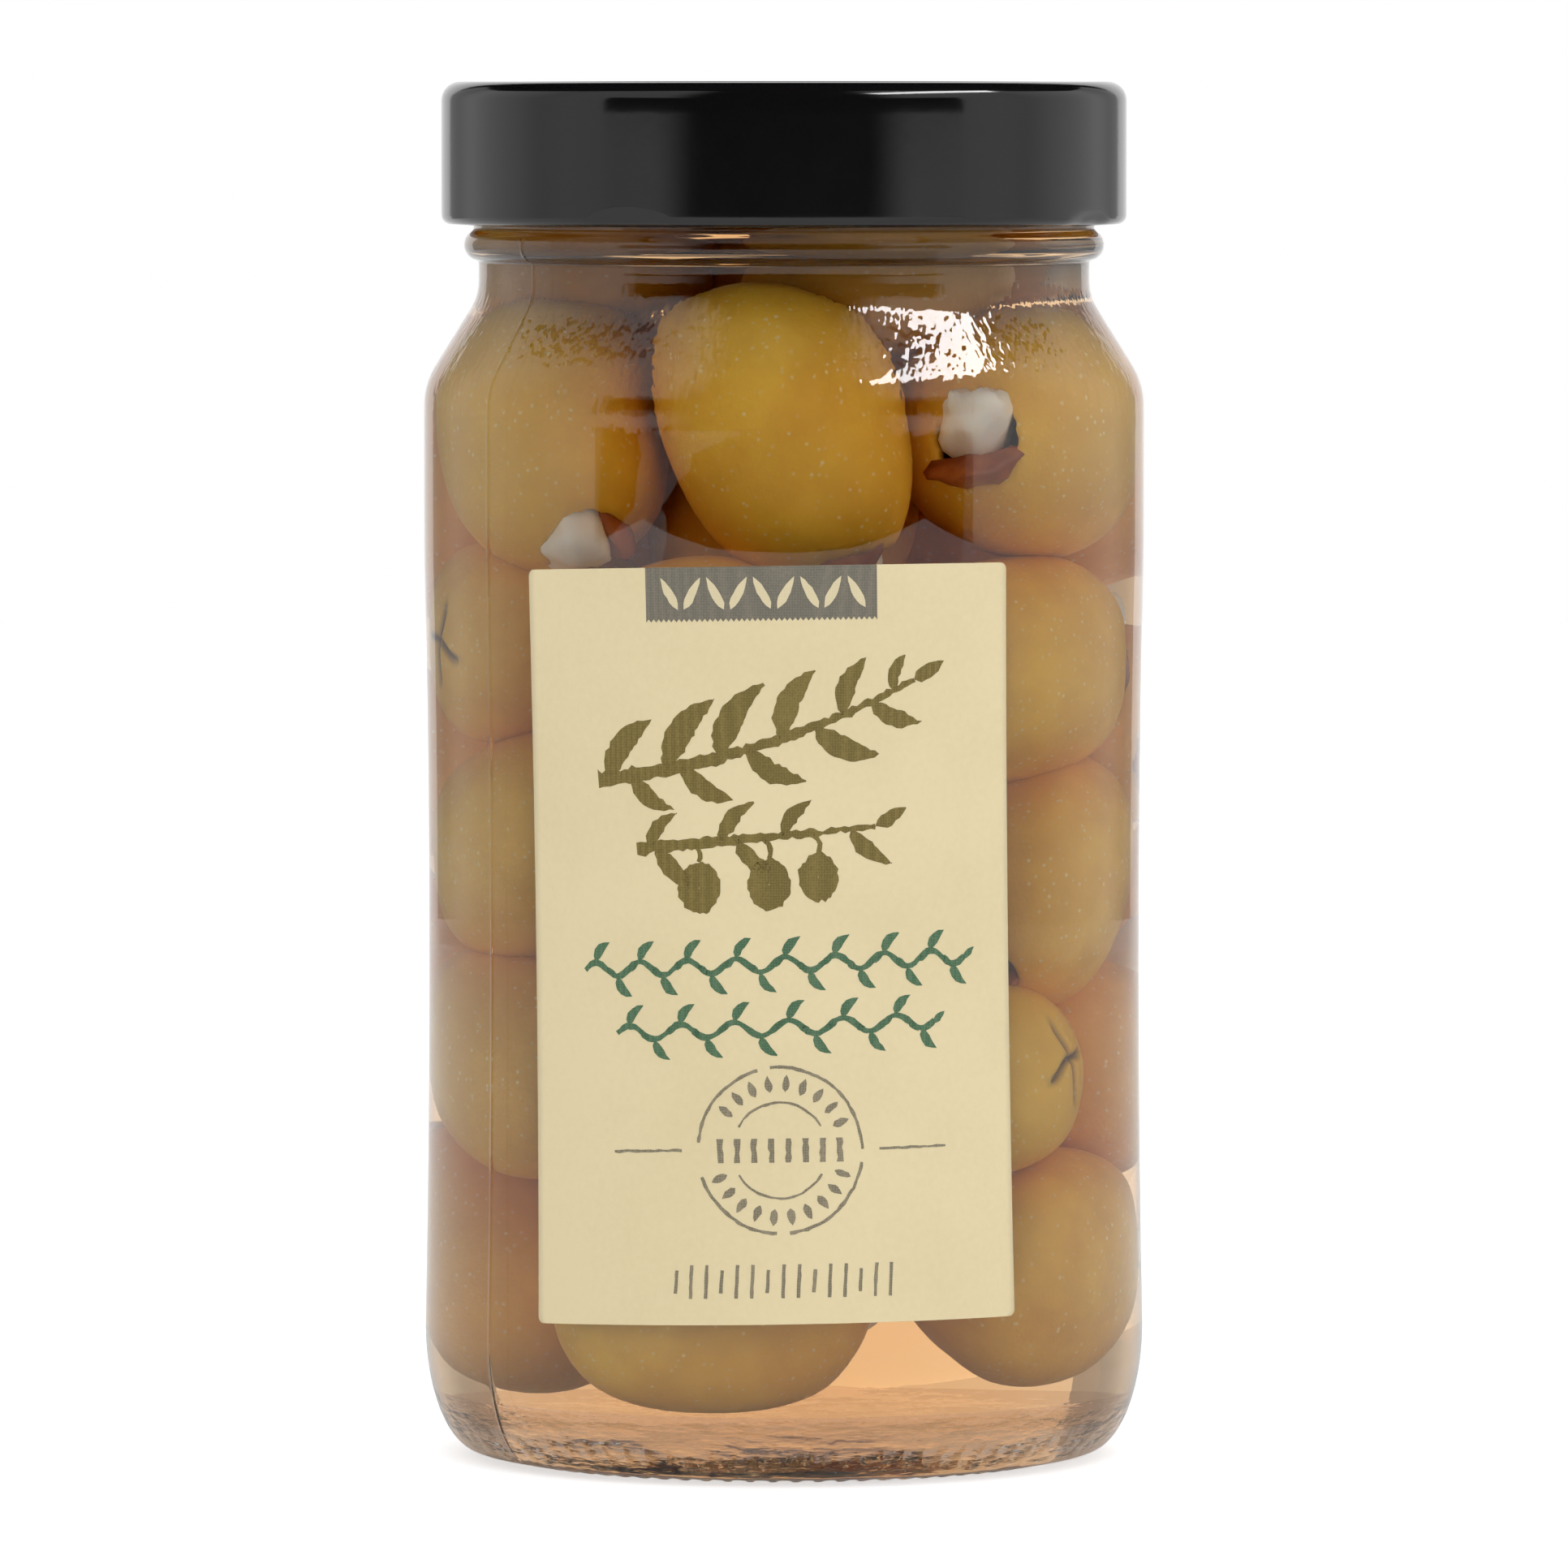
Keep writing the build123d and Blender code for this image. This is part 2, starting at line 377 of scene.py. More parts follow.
def marked_outside(radius, height, azimuth):
    """Seams, knurls and threads on the outer surface."""
    away = np.abs((azimuth[..., None] - seams + math.pi) % (2 * math.pi) - math.pi).min(axis=-1)
    seam = seam_height * np.exp(-((away * radius / seam_width) ** 2))
    on_side = (height > 1.0) & (height < bead_center[1] + bead_radius) & (radius > neck_radius - 0.5)
    knurl = 0.5 + 0.5 * np.cos(knurls * azimuth)
    on_foot = fade(radius, ring_inside - 0.3, ring_inside + 0.5) * (height < 1.5)
    on_foot = on_foot * (1 - fade(radius, ring_radius + 0.4, ring_radius + 1.8))
    from_lug = (azimuth - first_lug + math.pi / 4) % (math.pi / 2) - math.pi / 4
    on_thread = np.clip((math.radians(29) - np.abs(from_lug)) / 0.08, 0, 1)
    climb = thread_height + 1.7 * from_lug
    thread = thread_reach * on_thread * np.exp(-(((height - climb) / 0.8) ** 4))
    thread = np.where(height > bead_center[1] + 2.2, thread, 0)
    return radius + np.where(on_side, seam, 0) + thread, height + knurl_depth * knurl * on_foot


def blown_inside(radius, height, azimuth):
    """The uneven inner face. It is even again near the rim, where a plunger forms it."""
    share = np.clip((neck_bottom + 2 - height) / 6, 0, 1) * np.clip(radius / inner_radius, 0, 1)
    wave = uneven_inside(height, azimuth) * share
    flat = radius < floor_axis
    return radius + np.where(flat, 0, wave), height + np.where(flat, wave, 0)


even = np.radians(np.arange(0, 360, 360 / (5 * knurls)))
close = np.radians(np.array([-0.9, -0.6, -0.4, -0.2, -0.1, 0.1, 0.2, 0.4, 0.6, 0.9]))
glass_azimuths = np.unique(np.round(np.r_[even, (seams[:, None] + close).ravel() % (2 * math.pi)], 6))
print("columns of the glass", len(glass_azimuths))

# %% [markdown]
# ## Building a finish from nodes
# Each finish is a tree of nodes, as one would draw in the shader editor. In a script, most
# of the lines would be spent on naming sockets and linking them. These short hands take a
# value, a socket or a node for any input, so that each finish below reads as a list of
# what goes into what.


# %% Short hands for nodes
class Nodes:
    """Short hands for one tree of nodes.

    An input may be given as a plain value, as a socket, or as a node, which then passes
    its first output. None leaves the input alone."""

    def __init__(self, tree):
        self.tree = tree
        tree.nodes.clear()

    def put(self, socket, value):
        if isinstance(value, bpy.types.Node):
            value = value.outputs[0]
        if isinstance(value, bpy.types.NodeSocket):
            self.tree.links.new(value, socket)
        elif value is not None:
            socket.default_value = value

    def add(self, kind, **values):
        """A node with these inputs, where an underscore stands for a space, or settings."""
        node = self.tree.nodes.new("ShaderNode" + kind)
        for key, value in values.items():
            name = key.replace("_", " ")
            if name in node.inputs.keys():
                self.put(node.inputs[name], value)
            else:
                setattr(node, key, value)
        return node

    def math(self, operation, *values):
        node = self.add("Math", operation=operation)
        for socket, value in zip(node.inputs, values):
            self.put(socket, value)
        return node.outputs["Value"]

    def ramp(self, share, *stops):
        """A colour ramp. Each stop is a position and a colour."""
        node = self.add("ValToRGB", Fac=share)
        for element, (position, color) in zip(node.color_ramp.elements, stops):
            element.position = position
            element.color = (*color, 1)
        return node

    def rise(self, value, low, high, to_low=0.0, to_high=1.0):
        """Carries the range low to high over to another one, and stops at its ends."""
        ends = {"From_Min": low, "From_Max": high, "To_Min": to_low, "To_Max": to_high}
        return self.add("MapRange", Value=value, **ends)

    def mix(self, share, first, second):
        """The first colour, with this share of the second one."""
        node = self.add("Mix", data_type="RGBA", blend_type="MIX", Factor=share, A=first, B=second)
        return node.outputs["Result"]

    def own_space(self):
        return self.add("TexCoord").outputs["Object"]

    def read(self, name, output="Fac"):
        """An attribute that the mesh carries."""
        return self.add("Attribute", attribute_name=name).outputs[output]


def new_finish(name):
    """A material without nodes, and the short hands for its tree."""
    finish = bpy.data.materials.new(name)
    finish.use_nodes = True
    return finish, Nodes(finish.node_tree)


# %% [markdown]
# ## Glass finishes
# Clear glass bends light and mirrors a little of it, so a Principled shader with full
# transmission is right for the outside and for the base, where light is mirrored to and
# fro inside the thick floor. Where brine wets the side wall, the two bend light almost
# alike and hardly anything is mirrored. A surface there that only refracts keeps the view
# into the jar free of a second, false reflection. A faint ripple breaks up the
# reflections. The mould also leaves a fine grain on the shoulder, and wavy streaks where
# it chills the base first. The finish on the floor inside is tinted brown, which is
# painted shade that darkens the thick base and browns it.


# %% Glass finishes
def ripple(nodes, scale, depth, stretch=(1, 1, 1), detail=2.0, share=1.0, over=None):
    """A bump from noise in the piece's own space: scale in bumps a metre, depth in metres."""
    spread = nodes.add("Mapping", Vector=nodes.own_space(), Scale=stretch)
    noise = nodes.add("TexNoise", Vector=spread, Scale=scale, Detail=detail, Roughness=0.5)
    return nodes.add("Bump", Height=noise, Strength=share, Distance=depth, Normal=over)


def make_clear_glass(name, tint):
    """Glass with a wide ripple, streaks near the floor and grain on the shoulder."""
    finish, nodes = new_finish(name)
    height = nodes.add("SeparateXYZ", Vector=nodes.own_space()).outputs["Z"]
    near_floor = nodes.rise(height, (floor_edge + 4.5) * MM, (floor_edge + 1.5) * MM)
    above = nodes.rise(height, (body_top - 3) * MM, (body_top + 4) * MM)
    below = nodes.rise(height, (neck_bottom + 1) * MM, (neck_bottom - 2) * MM)
    on_shoulder = nodes.math("MULTIPLY", above, below)
    streaks = ripple(nodes, 170, 0.00022, (1, 1, 4.5), 3.0, near_floor)
    wide = ripple(nodes, 55, 0.00003, (1, 1, 0.35), over=streaks)
    grain = ripple(nodes, 1100, 0.00009, (1, 1, 0.4), 1.0, on_shoulder, wide)
    look = {"Base_Color": (*tint, 1), "Roughness": 0.0, "IOR": 1.5, "Transmission_Weight": 1.0}
    nodes.add("OutputMaterial", Surface=nodes.add("BsdfPrincipled", Normal=grain, **look))
    return finish


def make_wet_glass():
    finish, nodes = new_finish("wet_glass")
    bent = nodes.add("BsdfRefraction", IOR=1.5, Roughness=0.0, Color=(1, 1, 1, 1))
    nodes.add("OutputMaterial", Surface=bent)
    return finish


clear_glass = make_clear_glass("clear_glass", (0.985, 0.99, 0.985))
# Painted shade: the brown tint darkens the thick base of the jar.
shade_tinted_base_glass = make_clear_glass("shade_tinted_base_glass", (0.80, 0.70, 0.65))
wet_glass = make_wet_glass()
print("glass finishes", [finish.name for finish in (clear_glass, shade_tinted_base_glass, wet_glass)])

# %% [markdown]
# ## The glass jar
# The section runs from the middle of the underside, up the outside, over the rim and down
# the inside to the middle of the floor, so that the glass is one closed body with a real
# wall. Light then bends twice at each side, which makes the bright edges of a real jar.

# %% Build the glass
outer_part = thin_out(outside, 3.2, 7)
rim_part = thin_out(rim, 1.0, 15)[1:-1]
inner_part = thin_out(inside, 4.0, 7)[::-1]
glass_section = np.vstack([outer_part, rim_part, inner_part])
outer_rows = len(outer_part) + len(rim_part)


def shaped_glass(radius, height, azimuth):
    marked_radius, marked_height = marked_outside(radius, height, azimuth)
    blown_radius, blown_height = blown_inside(radius, height, azimuth)
    is_outside = (np.arange(len(radius)) < outer_rows)[:, None]
    return (
        np.where(is_outside, marked_radius, blown_radius),
        np.where(is_outside, marked_height, blown_height),
    )


glass_points, glass_faces = turn(glass_section, glass_azimuths, shaped_glass)
face_rows = np.repeat(np.arange(len(glass_section) - 1), len(glass_azimuths))
face_heights = glass_section[face_rows, 1]
touches_brine = (face_rows >= outer_rows) & (face_heights < brine_level)
is_base = touches_brine & (face_heights < floor_edge + 5)
is_side = touches_brine & ~is_base
make_piece(
    "glass",
    glass_points,
    glass_faces,
    [clear_glass, wet_glass, shade_tinted_base_glass],
    ["glass_jar"],
    is_side + 2 * is_base,
)

# %% [markdown]
# ## The brine
# The brine fills everything inside the glass up to its level. If it stopped exactly at the
# wall, a hair of air would show, so it reaches a little way into the glass and follows the
# same uneven wall. Tannin from the olives has made it amber. Absorption through its depth
# gives that colour: pale in a thin layer, deep orange-brown across the jar.

# %% Build the brine
into_glass = 0.15


def make_brine_finish():
    finish, nodes = new_finish("amber_brine")
    look = {"Base_Color": (1, 1, 1, 1), "Roughness": 0.0, "IOR": 1.34, "Transmission_Weight": 1.0}
    depth = nodes.add("VolumeAbsorption", Density=28.0, Color=(0.87, 0.55, 0.08, 1))
    nodes.add("OutputMaterial", Surface=nodes.add("BsdfPrincipled", **look), Volume=depth)
    return finish


brine_wall = inside[inside[:, 1] < brine_level]
brine_surface = run((bore_radius, brine_level), (0, brine_level))
brine_section = np.vstack([thin_out(brine_wall, 4.0, 7), thin_out(brine_surface, 10, 20)])


def shaped_brine(radius, height, azimuth):
    radius, height = blown_inside(radius, height, azimuth)
    on_floor = (radius < floor_axis) & (height < brine_level / 2)
    is_side = (radius > floor_axis) & (height < brine_level + 1)
    return radius + np.where(is_side, into_glass, 0), height - np.where(on_floor, into_glass, 0)


brine_azimuths = np.radians(np.arange(0, 360, 2.5))
brine_points, brine_faces = turn(brine_section, brine_azimuths, shaped_brine)
make_piece(
    "brine",
    brine_points,
    brine_faces,
    [make_brine_finish()],
    ["olives_in_brine"],
)

# %% [markdown]
# ## How the olives lie
# Large olives pack into such a jar in loose rings, with more in the middle and a few that
# float under the brine's surface. The ones behind the glass in front are placed one by
# one, each with the direction that its stuffed end points in, because that is what one
# sees. The others are set out ring by ring, with room between them, so that light from
# behind still glows through the brine near the base. Chance gives these their sizes and
# directions, from a fixed seed, so that the jar comes out the same each time.

# %% Olives seen from the front
# azimuth, height, length, width, azimuth and elevation that the stuffed end points in
front_olives = [
    (-68, 107.9, 28.5, 23.6, 19, -46),
    (-1, 109.6, 32.0, 22.5, 85, -66),
    (70, 108.3, 28.0, 24.2, -14, 3),
    (-72, 87.7, 26.5, 22.0, 105, 2),
    (-24, 85.4, 27.5, 23.2, 70, 12),
    (60, 84.0, 29.0, 23.2, 150, 8),
    (-68, 66.0, 28.5, 23.4, 18, 25),
    (-8, 61.5, 28.0, 22.8, 95, 30),
    (70, 62.4, 28.5, 24.0, -24, -44),
    (-69, 43.7, 28.5, 23.4, 30, -15),
    (-18, 38.5, 28.0, 22.6, -80, 25),
    (46, 41.2, 25.0, 20.4, -102, -12),
    (70, 22.0, 27.5, 23.6, 160, 5),
    (-20, 20.4, 31.5, 23.4, 112, 0),
]
print(len(front_olives), "olives in front")

# %% Olives further back
rng = np.random.default_rng(7)


def pointing(azimuth, elevation):
    """The unit vector that an azimuth and an elevation in degrees give."""
    a, e = math.radians(azimuth), math.radians(elevation)
    return np.array([math.sin(a) * math.cos(e), -math.cos(a) * math.cos(e), math.sin(e)])


def against_wall(azimuth, height, end, length, width):
    """The middle of an olive that touches the glass at this azimuth and height."""
    out = pointing(azimuth, 0)
    along = float(out @ end)
    reach_out = math.sqrt((length / 2 * along) ** 2 + (width / 2) ** 2 * (1 - along**2))
    return out * (wall_at(height) - reach_out - 0.3) + [0, 0, height]


olives = []
for azimuth, height, length, width, end_azimuth, end_elevation in front_olives:
    end = pointing(end_azimuth, end_elevation)
    place = against_wall(azimuth, height, end, length, width)
    olives.append((place, end, length, width, 0.9))
back_rings = [
    (26.0, (-98,)),
    (41.0, (160, 100)),
    (61.0, (-140, 141)),
    (83.0, (-142, 146, 110)),
    (106.0, (-140, 141)),
]
for height, azimuths in back_rings:
    for azimuth in azimuths:
        end = pointing(rng.uniform(0, 360), rng.uniform(-50, 50))
        length, width = rng.uniform(27, 29.5), rng.uniform(22.5, 24)
        place = against_wall(azimuth, height + rng.uniform(-2, 2), end, length, width)
        olives.append((place, end, length, width, 0.15))
for height in (50.0, 75.0, 100.0):
    place = np.array([rng.uniform(-2, 2), rng.uniform(-2, 2) + 2, height])
    end = pointing(rng.uniform(0, 360), rng.uniform(40, 80))
    olives.append((place, end, rng.uniform(26, 28), rng.uniform(21, 22), 0.0))
for azimuth, out, toward in ((170, 15.0, 90), (-92, 18.2, 170), (97, 18.5, 172)):
    place = pointing(azimuth, 0) * out + [0, 0, brine_level - 13.0]
    olives.append((place, pointing(toward, 5), 28.0, 22.4, 0.4))
print(len(olives), "olives in all")

# %% [markdown]
# ## Settling
# A physics run could drop thirty olives into the jar, but then none would lie where it is
# wanted. A few hundred small pushes do the job more gently. Each olive is treated as a
# short rod with round ends, and rods that overlap, or that press into the glass, give way.
# Each is also drawn back towards its first place, and the ones in front hold theirs the
# hardest.

# %% Let the olives settle
gap_between = 0.1
gap_at_wall = 0.35
gap_at_floor = 1.2
gap_under_surface = 1.0
centers, axes = (np.array([o[k] for o in olives]) for k in (0, 1))
lengths, widths, holds = (np.array([o[k] for o in olives]) for k in (2, 3, 4))
reach = (lengths - widths) / 2
home = centers.copy()
pair_a, pair_b = np.triu_indices(len(olives), 1)


def nearest(first, second):
    """Where two sets of rods come nearest, as shares from -1 to 1 along each rod."""
    between = centers[first] - centers[second]
    u, v = axes[first] * reach[first, None], axes[second] * reach[second, None]
    a, b, c = (u * u).sum(1), (u * v).sum(1), (v * v).sum(1)
    d, e = (u * between).sum(1), (v * between).sum(1)
    bottom = np.maximum(a * c - b * b, 1e-9)
    s = np.clip((b * e - c * d) / bottom, -1, 1)
    t = np.clip((b * s + e) / np.maximum(c, 1e-9), -1, 1)
    s = np.clip((b * t - d) / np.maximum(a, 1e-9), -1, 1)
    return s, t


def settle(rounds):
    for _ in range(rounds):
        push = np.zeros_like(centers)
        s, t = nearest(pair_a, pair_b)
        at_a = centers[pair_a] + axes[pair_a] * (s * reach[pair_a])[:, None]
        at_b = centers[pair_b] + axes[pair_b] * (t * reach[pair_b])[:, None]
        apart = at_a - at_b
        distance = np.maximum(np.linalg.norm(apart, axis=1), 1e-6)
        overlap = np.maximum((widths[pair_a] + widths[pair_b]) / 2 + gap_between - distance, 0)
        away = apart / distance[:, None] * (overlap / 2)[:, None]
        np.add.at(push, pair_a, away)
        np.add.at(push, pair_b, -away)
        for side in (-1, 1):
            tip = centers + side * axes * reach[:, None]
            out = np.hypot(tip[:, 0], tip[:, 1])
            too_far = np.maximum(out - (wall_at(tip[:, 2]) - widths / 2 - gap_at_wall), 0)
            push[:, :2] -= tip[:, :2] / np.maximum(out, 1e-6)[:, None] * too_far[:, None]
            push[:, 2] += np.maximum(floor_edge + gap_at_floor + widths / 2 - tip[:, 2], 0)
            push[:, 2] -= np.maximum(tip[:, 2] + widths / 2 - brine_level + gap_under_surface, 0)
        push *= (1 - 0.8 * holds)[:, None]
        push += (home - centers) * (0.06 * holds + 0.25 * (holds > 0.8))[:, None]
        centers[:] = centers + push * 0.7
    return overlap.max()


print("deepest overlap after settling", round(float(settle(500)), 2), "mm")
print("moved", np.round(np.linalg.norm(centers - home, axis=1), 1).tolist())

# %% [markdown]
# ## One olive
# An olive is a little fuller than an egg. The pitting tool leaves a cross-shaped cut in
# one end and a round hole in the other, where the stuffing goes in. The mesh is a grid of
# rings from the cut end to the hole, closer together at both ends, where there is detail.
# The rings then turn in at the lip of the hole and make its inside. Slow waves make each
# olive its own shape, and short wrinkles run out from the lip.

# %% Rings of an olive
olive_columns = 60
olive_fullness = 2.25
cut_length, cut_width, cut_bend, cut_depth = 5.2, 0.42, 0.35, 0.9


def olive_rings():
    """Rings of an olive as polar angle from the cut end, then steps into the hole."""
    near_cut = np.radians([0, 2.5, 5, 8, 11, 14.5, 18, 22, 26])
    middle = np.radians(np.linspace(32, 132, 17))
    near_hole = np.linspace(0.0, 1.0, 8)
    return near_cut, middle, near_hole


def slow_waves(angle, level, phase):
    """How much wider or slimmer an olive is than a plain one, round it and along it."""
    return (
        0.030 * np.sin(2 * angle + phase[0] + level)
        + 0.018 * np.sin(3 * angle + phase[1] - 2 * level)
        + 0.022 * np.sin(angle + phase[2] + 2.5 * level)
        + 0.010 * np.sin(5 * angle + phase[3] + 4 * level)
    )


def crossed_cut(across, up, phase):
    """1 along the middle of the two crossed cuts, and 0 away from them."""
    bent = cut_bend * np.sin(across * 0.9 + phase[7]), cut_bend * np.sin(up * 0.8 + phase[0])
    to_line = np.minimum(np.abs(across + bent[1]), np.abs(up + bent[0]))
    long_enough = np.clip((cut_length - np.hypot(across, up)) / 1.2, 0, 1)
    return np.exp(-((to_line / cut_width) ** 2)) * long_enough


print("an olive has", sum(len(part) for part in olive_rings()), "rings outside its hole")


# %% Shape of one olive
def make_olive(length, width, seed, wider=0.0, cut_share=1.0):
    """Points of one olive about its middle, its stuffed end up, with its cut mark."""
    own = np.random.default_rng(seed)
    hole = own.uniform(4.3, 5.0) + wider
    half, wide = length / 2, width / 2
    near_cut, middle, near_hole = olive_rings()
    polar = np.r_[near_cut, middle]
    hole_angle = math.pi - math.asin(hole / wide) * 0.93
    polar = np.r_[polar, middle[-1] + (hole_angle - middle[-1]) * near_hole[1:]]
    sine, cosine = np.sin(polar), np.cos(polar)
    size = (np.abs(sine) ** olive_fullness + np.abs(cosine) ** olive_fullness) ** (
        -1 / olive_fullness
    )
    ring_radius_mm, ring_height = wide * size * sine, -half * size * cosine
    lip_radius, lip_height = ring_radius_mm[-1], ring_height[-1]
    inner_share = np.array([0.93, 0.86, 0.82, 0.6, 0.0])
    inner_drop = np.array([0.15, 0.9, 2.6, 4.0, 4.3])
    rings = np.r_[ring_radius_mm, lip_radius * inner_share]
    heights = np.r_[ring_height, lip_height - inner_drop]
    around = np.linspace(0, 2 * math.pi, olive_columns, endpoint=False)
    radius, angle = np.meshgrid(rings, around, indexing="ij")
    height = np.repeat(heights[:, None], olive_columns, axis=1)
    phase = own.uniform(0, 2 * math.pi, 8)
    level = height / half
    egg = 1 + own.uniform(-0.06, 0.06) * level
    radius = radius * (1 + slow_waves(angle, level, phase)) * egg
    lip_side = np.clip(1 - np.abs(height - lip_height) / 4.5, 0, 1) ** 2
    wrinkle = np.abs(np.sin(4.5 * angle + phase[4] + 0.8 * np.sin(3 * angle + phase[5])))
    radius = radius - 0.45 * lip_side * (1 - wrinkle) ** 2
    height = height + 0.35 * np.cos(2 * angle + phase[6]) * lip_side
    across, up = radius * np.cos(angle), radius * np.sin(angle)
    cut = np.where(height < -half * 0.7, crossed_cut(across, up, phase), 0) * cut_share
    height = height + cut_depth * cut
    in_hole = (np.arange(len(rings)) >= len(ring_height) + 1)[:, None] * np.ones(olive_columns)
    mark = np.maximum(cut, in_hole)
    points = np.stack([across, up, height], axis=-1)
    points[-1] = points[-1].mean(axis=0)
    return points.reshape(-1, 3), mark.ravel(), len(rings), hole


# %% Weld the ends
def welded(points, faces, marks):
    """Joins the points that lie on one spot at the two ends of an olive."""
    keys = np.round(points, 4)
    _, first, same = np.unique(keys, axis=0, return_index=True, return_inverse=True)
    same = same.ravel()
    clean = []
    for face in faces:
        joined = list(dict.fromkeys(int(same[p]) for p in face))
        if len(joined) > 2:
            clean.append(joined)
    return points[first], clean, marks[first]


test_points, _, test_rings, _ = make_olive(28, 23, 0)
print("one olive has", test_rings, "rings and", len(test_points), "points")

# %% [markdown]
# ## Olive skin
# Cured green olives are a warm yellow-brown green, a little darker in broad patches, with
# fine pale dots where the pores of the skin are. Light goes a short way into the flesh,
# so a small share of subsurface scattering keeps them from looking like painted wood.
# Cuts and holes are brown, because the flesh there has darkened. Part of the same brown
# is painted shade on the three olives that float at the top. Each olive carries its own
# coordinates and its own tone, so that no two have the same pattern.


# %% Olive finish
def make_olive_finish():
    finish, nodes = new_finish("olive_skin")
    flesh = nodes.read("flesh", "Vector")
    patches = nodes.add("TexNoise", Vector=flesh, Scale=0.11, Detail=3.0, Roughness=0.55)
    skin = nodes.ramp(patches, (0.36, (0.85, 0.43, 0.038)), (0.66, (1.0, 0.57, 0.06)))
    skin = nodes.mix(nodes.read("tone"), skin, (0.89, 0.55, 0.055, 1))
    pores = nodes.add("TexVoronoi", Vector=flesh, Scale=0.95, Randomness=1.0)
    where = nodes.add("TexNoise", Vector=flesh, Scale=0.35, Detail=2.0)
    dots = nodes.rise(pores, 0.10, 0.26, 1.0, 0.0)
    shown = nodes.math("MULTIPLY", dots, nodes.rise(where, 0.36, 0.6, 0.0, 0.8))
    skin = nodes.mix(shown, skin, (0.97, 0.78, 0.34, 1))
    # Dark brown for cuts and holes, and part of it as painted shade on the floating olives.
    skin = nodes.mix(nodes.read("cut"), skin, (0.10, 0.032, 0.008, 1))
    fine = nodes.add("TexNoise", Vector=flesh, Scale=1.6, Detail=3.0)
    shader = nodes.add(
        "BsdfPrincipled",
        Base_Color=skin,
        Normal=nodes.add("Bump", Height=fine, Strength=1.0, Distance=0.00006),
        Roughness=0.42,
        Subsurface_Weight=0.2,
        Subsurface_Radius=(1.0, 0.55, 0.2),
        Subsurface_Scale=0.002,
        IOR=1.4,
    )
    nodes.add("OutputMaterial", Surface=shader)
    return finish


olive_skin = make_olive_finish()
print("olive skin has", len(olive_skin.node_tree.nodes), "nodes")

# %% [markdown]
# ## All the olives
# Each olive is made in its own space and then carried to its place: its long axis is laid
# along the direction that its stuffed end points in, and it is rolled by a chance angle.
# The few that float at the top are darkened part of the way to the cut's brown, which is
# painted shade for the dark neck under the lid. All of them are joined in one mesh.

# %% Build the olives
brine_film = 0.22
least_over_floor = 0.3


def clear_of_wall(points):
    """The points of an olive, moved off the wall and floor that they would press into."""
    shift = np.zeros(3)
    for _ in range(6):
        out = np.hypot(points[:, 0], points[:, 1])
        room = wall_at(points[:, 2]) - brine_film - out
        worst = int(np.argmin(room))
        if room[worst] < 0:
            step = np.append(points[worst, :2] / out[worst] * room[worst], 0)
            points, shift = points + step, shift + step
        low = floor_edge + floor_rise + least_over_floor - points[:, 2].min()
        lift = np.array([0, 0, max(low, 0.0)])
        points, shift = points + lift, shift + lift
    return points, shift


olive_points, olive_face_list, olive_cuts_and_shade, olive_own, olive_tones = [], [], [], [], []
frames = []
count = 0
wide_holes = {2: 0.8}
with_cut = {3, 4, 7, 8, 11, 15, 17, 18, 19, 20, 21, 24}
garlic_side = {0: (-1.0, 0.0, -0.3), 2: (-0.2, 0.0, 1.0)}
# Painted shade: the three floating olives, 27 to 29, are darkened towards the cut's brown.
painted_shade_on_floaters = {27: 0.35, 28: 0.35, 29: 0.5}
for index in range(len(olives)):
    own = np.random.default_rng(100 + index)
    local, marks, rings, hole = make_olive(
        lengths[index], widths[index], 100 + index, wide_holes.get(index, 0.0), index in with_cut
    )
    faces = grid_faces(rings, olive_columns, closed=True)
    local, faces, marks = welded(local, faces, marks)
    axis = axes[index]
    side = np.cross(axis, [0.3, 0.2, 1.0] if abs(axis[2]) < 0.9 else [1.0, 0, 0])
    side /= np.linalg.norm(side)
    roll = own.uniform(0, 2 * math.pi)
    across = side * math.cos(roll) + np.cross(axis, side) * math.sin(roll)
    if index in garlic_side:
        across = garlic_side[index] - axis * float(axis @ np.array(garlic_side[index]))
        across /= np.linalg.norm(across)
    basis = np.stack([across, np.cross(axis, across), axis])
    placed = clear_of_wall(local @ basis + centers[index])
    frames.append((centers[index] + placed[1], basis, lengths[index] / 2, hole))
    olive_points.append(placed[0])
    olive_face_list += [[p + count for p in face] for face in faces]
    # The floating olives' painted shade goes into the cut value here.
    olive_cuts_and_shade.append(np.maximum(marks, painted_shade_on_floaters.get(index, 0.0)))
    olive_own.append(local + own.uniform(-500, 500, 3))
    olive_tones.append(np.full(len(local), own.uniform(0, 0.5)))
    count += len(local)
olive_piece = make_piece(
    "olives",
    np.vstack(olive_points),
    olive_face_list,
    [olive_skin],
    ["olives_in_brine"],
)

# %% [markdown]
# ## What the skin needs to know
# One finish serves all thirty olives, but each has its own pattern and tone, and its cut
# and its hole are darker. The cut value also carries painted shade on the three floating
# olives. These are values of the points, not of the finish, so they are stored with the
# mesh as named attributes, and the finish reads them by name.


# %% Values for the skin
def give_values(piece, name, kind, values):
    """Stores one value for each point of a piece, for its finish to read."""
    key = "vector" if kind == "FLOAT_VECTOR" else "value"
    layer = piece.data.attributes.new(name, kind, "POINT")
    layer.data.foreach_set(key, np.asarray(values, float).ravel())


give_values(olive_piece, "flesh", "FLOAT_VECTOR", np.vstack(olive_own))
give_values(olive_piece, "cut", "FLOAT", np.concatenate(olive_cuts_and_shade))
give_values(olive_piece, "tone", "FLOAT", np.concatenate(olive_tones))
print("points in a cut or a hole", int((np.concatenate(olive_cuts_and_shade) > 0.5).sum()))

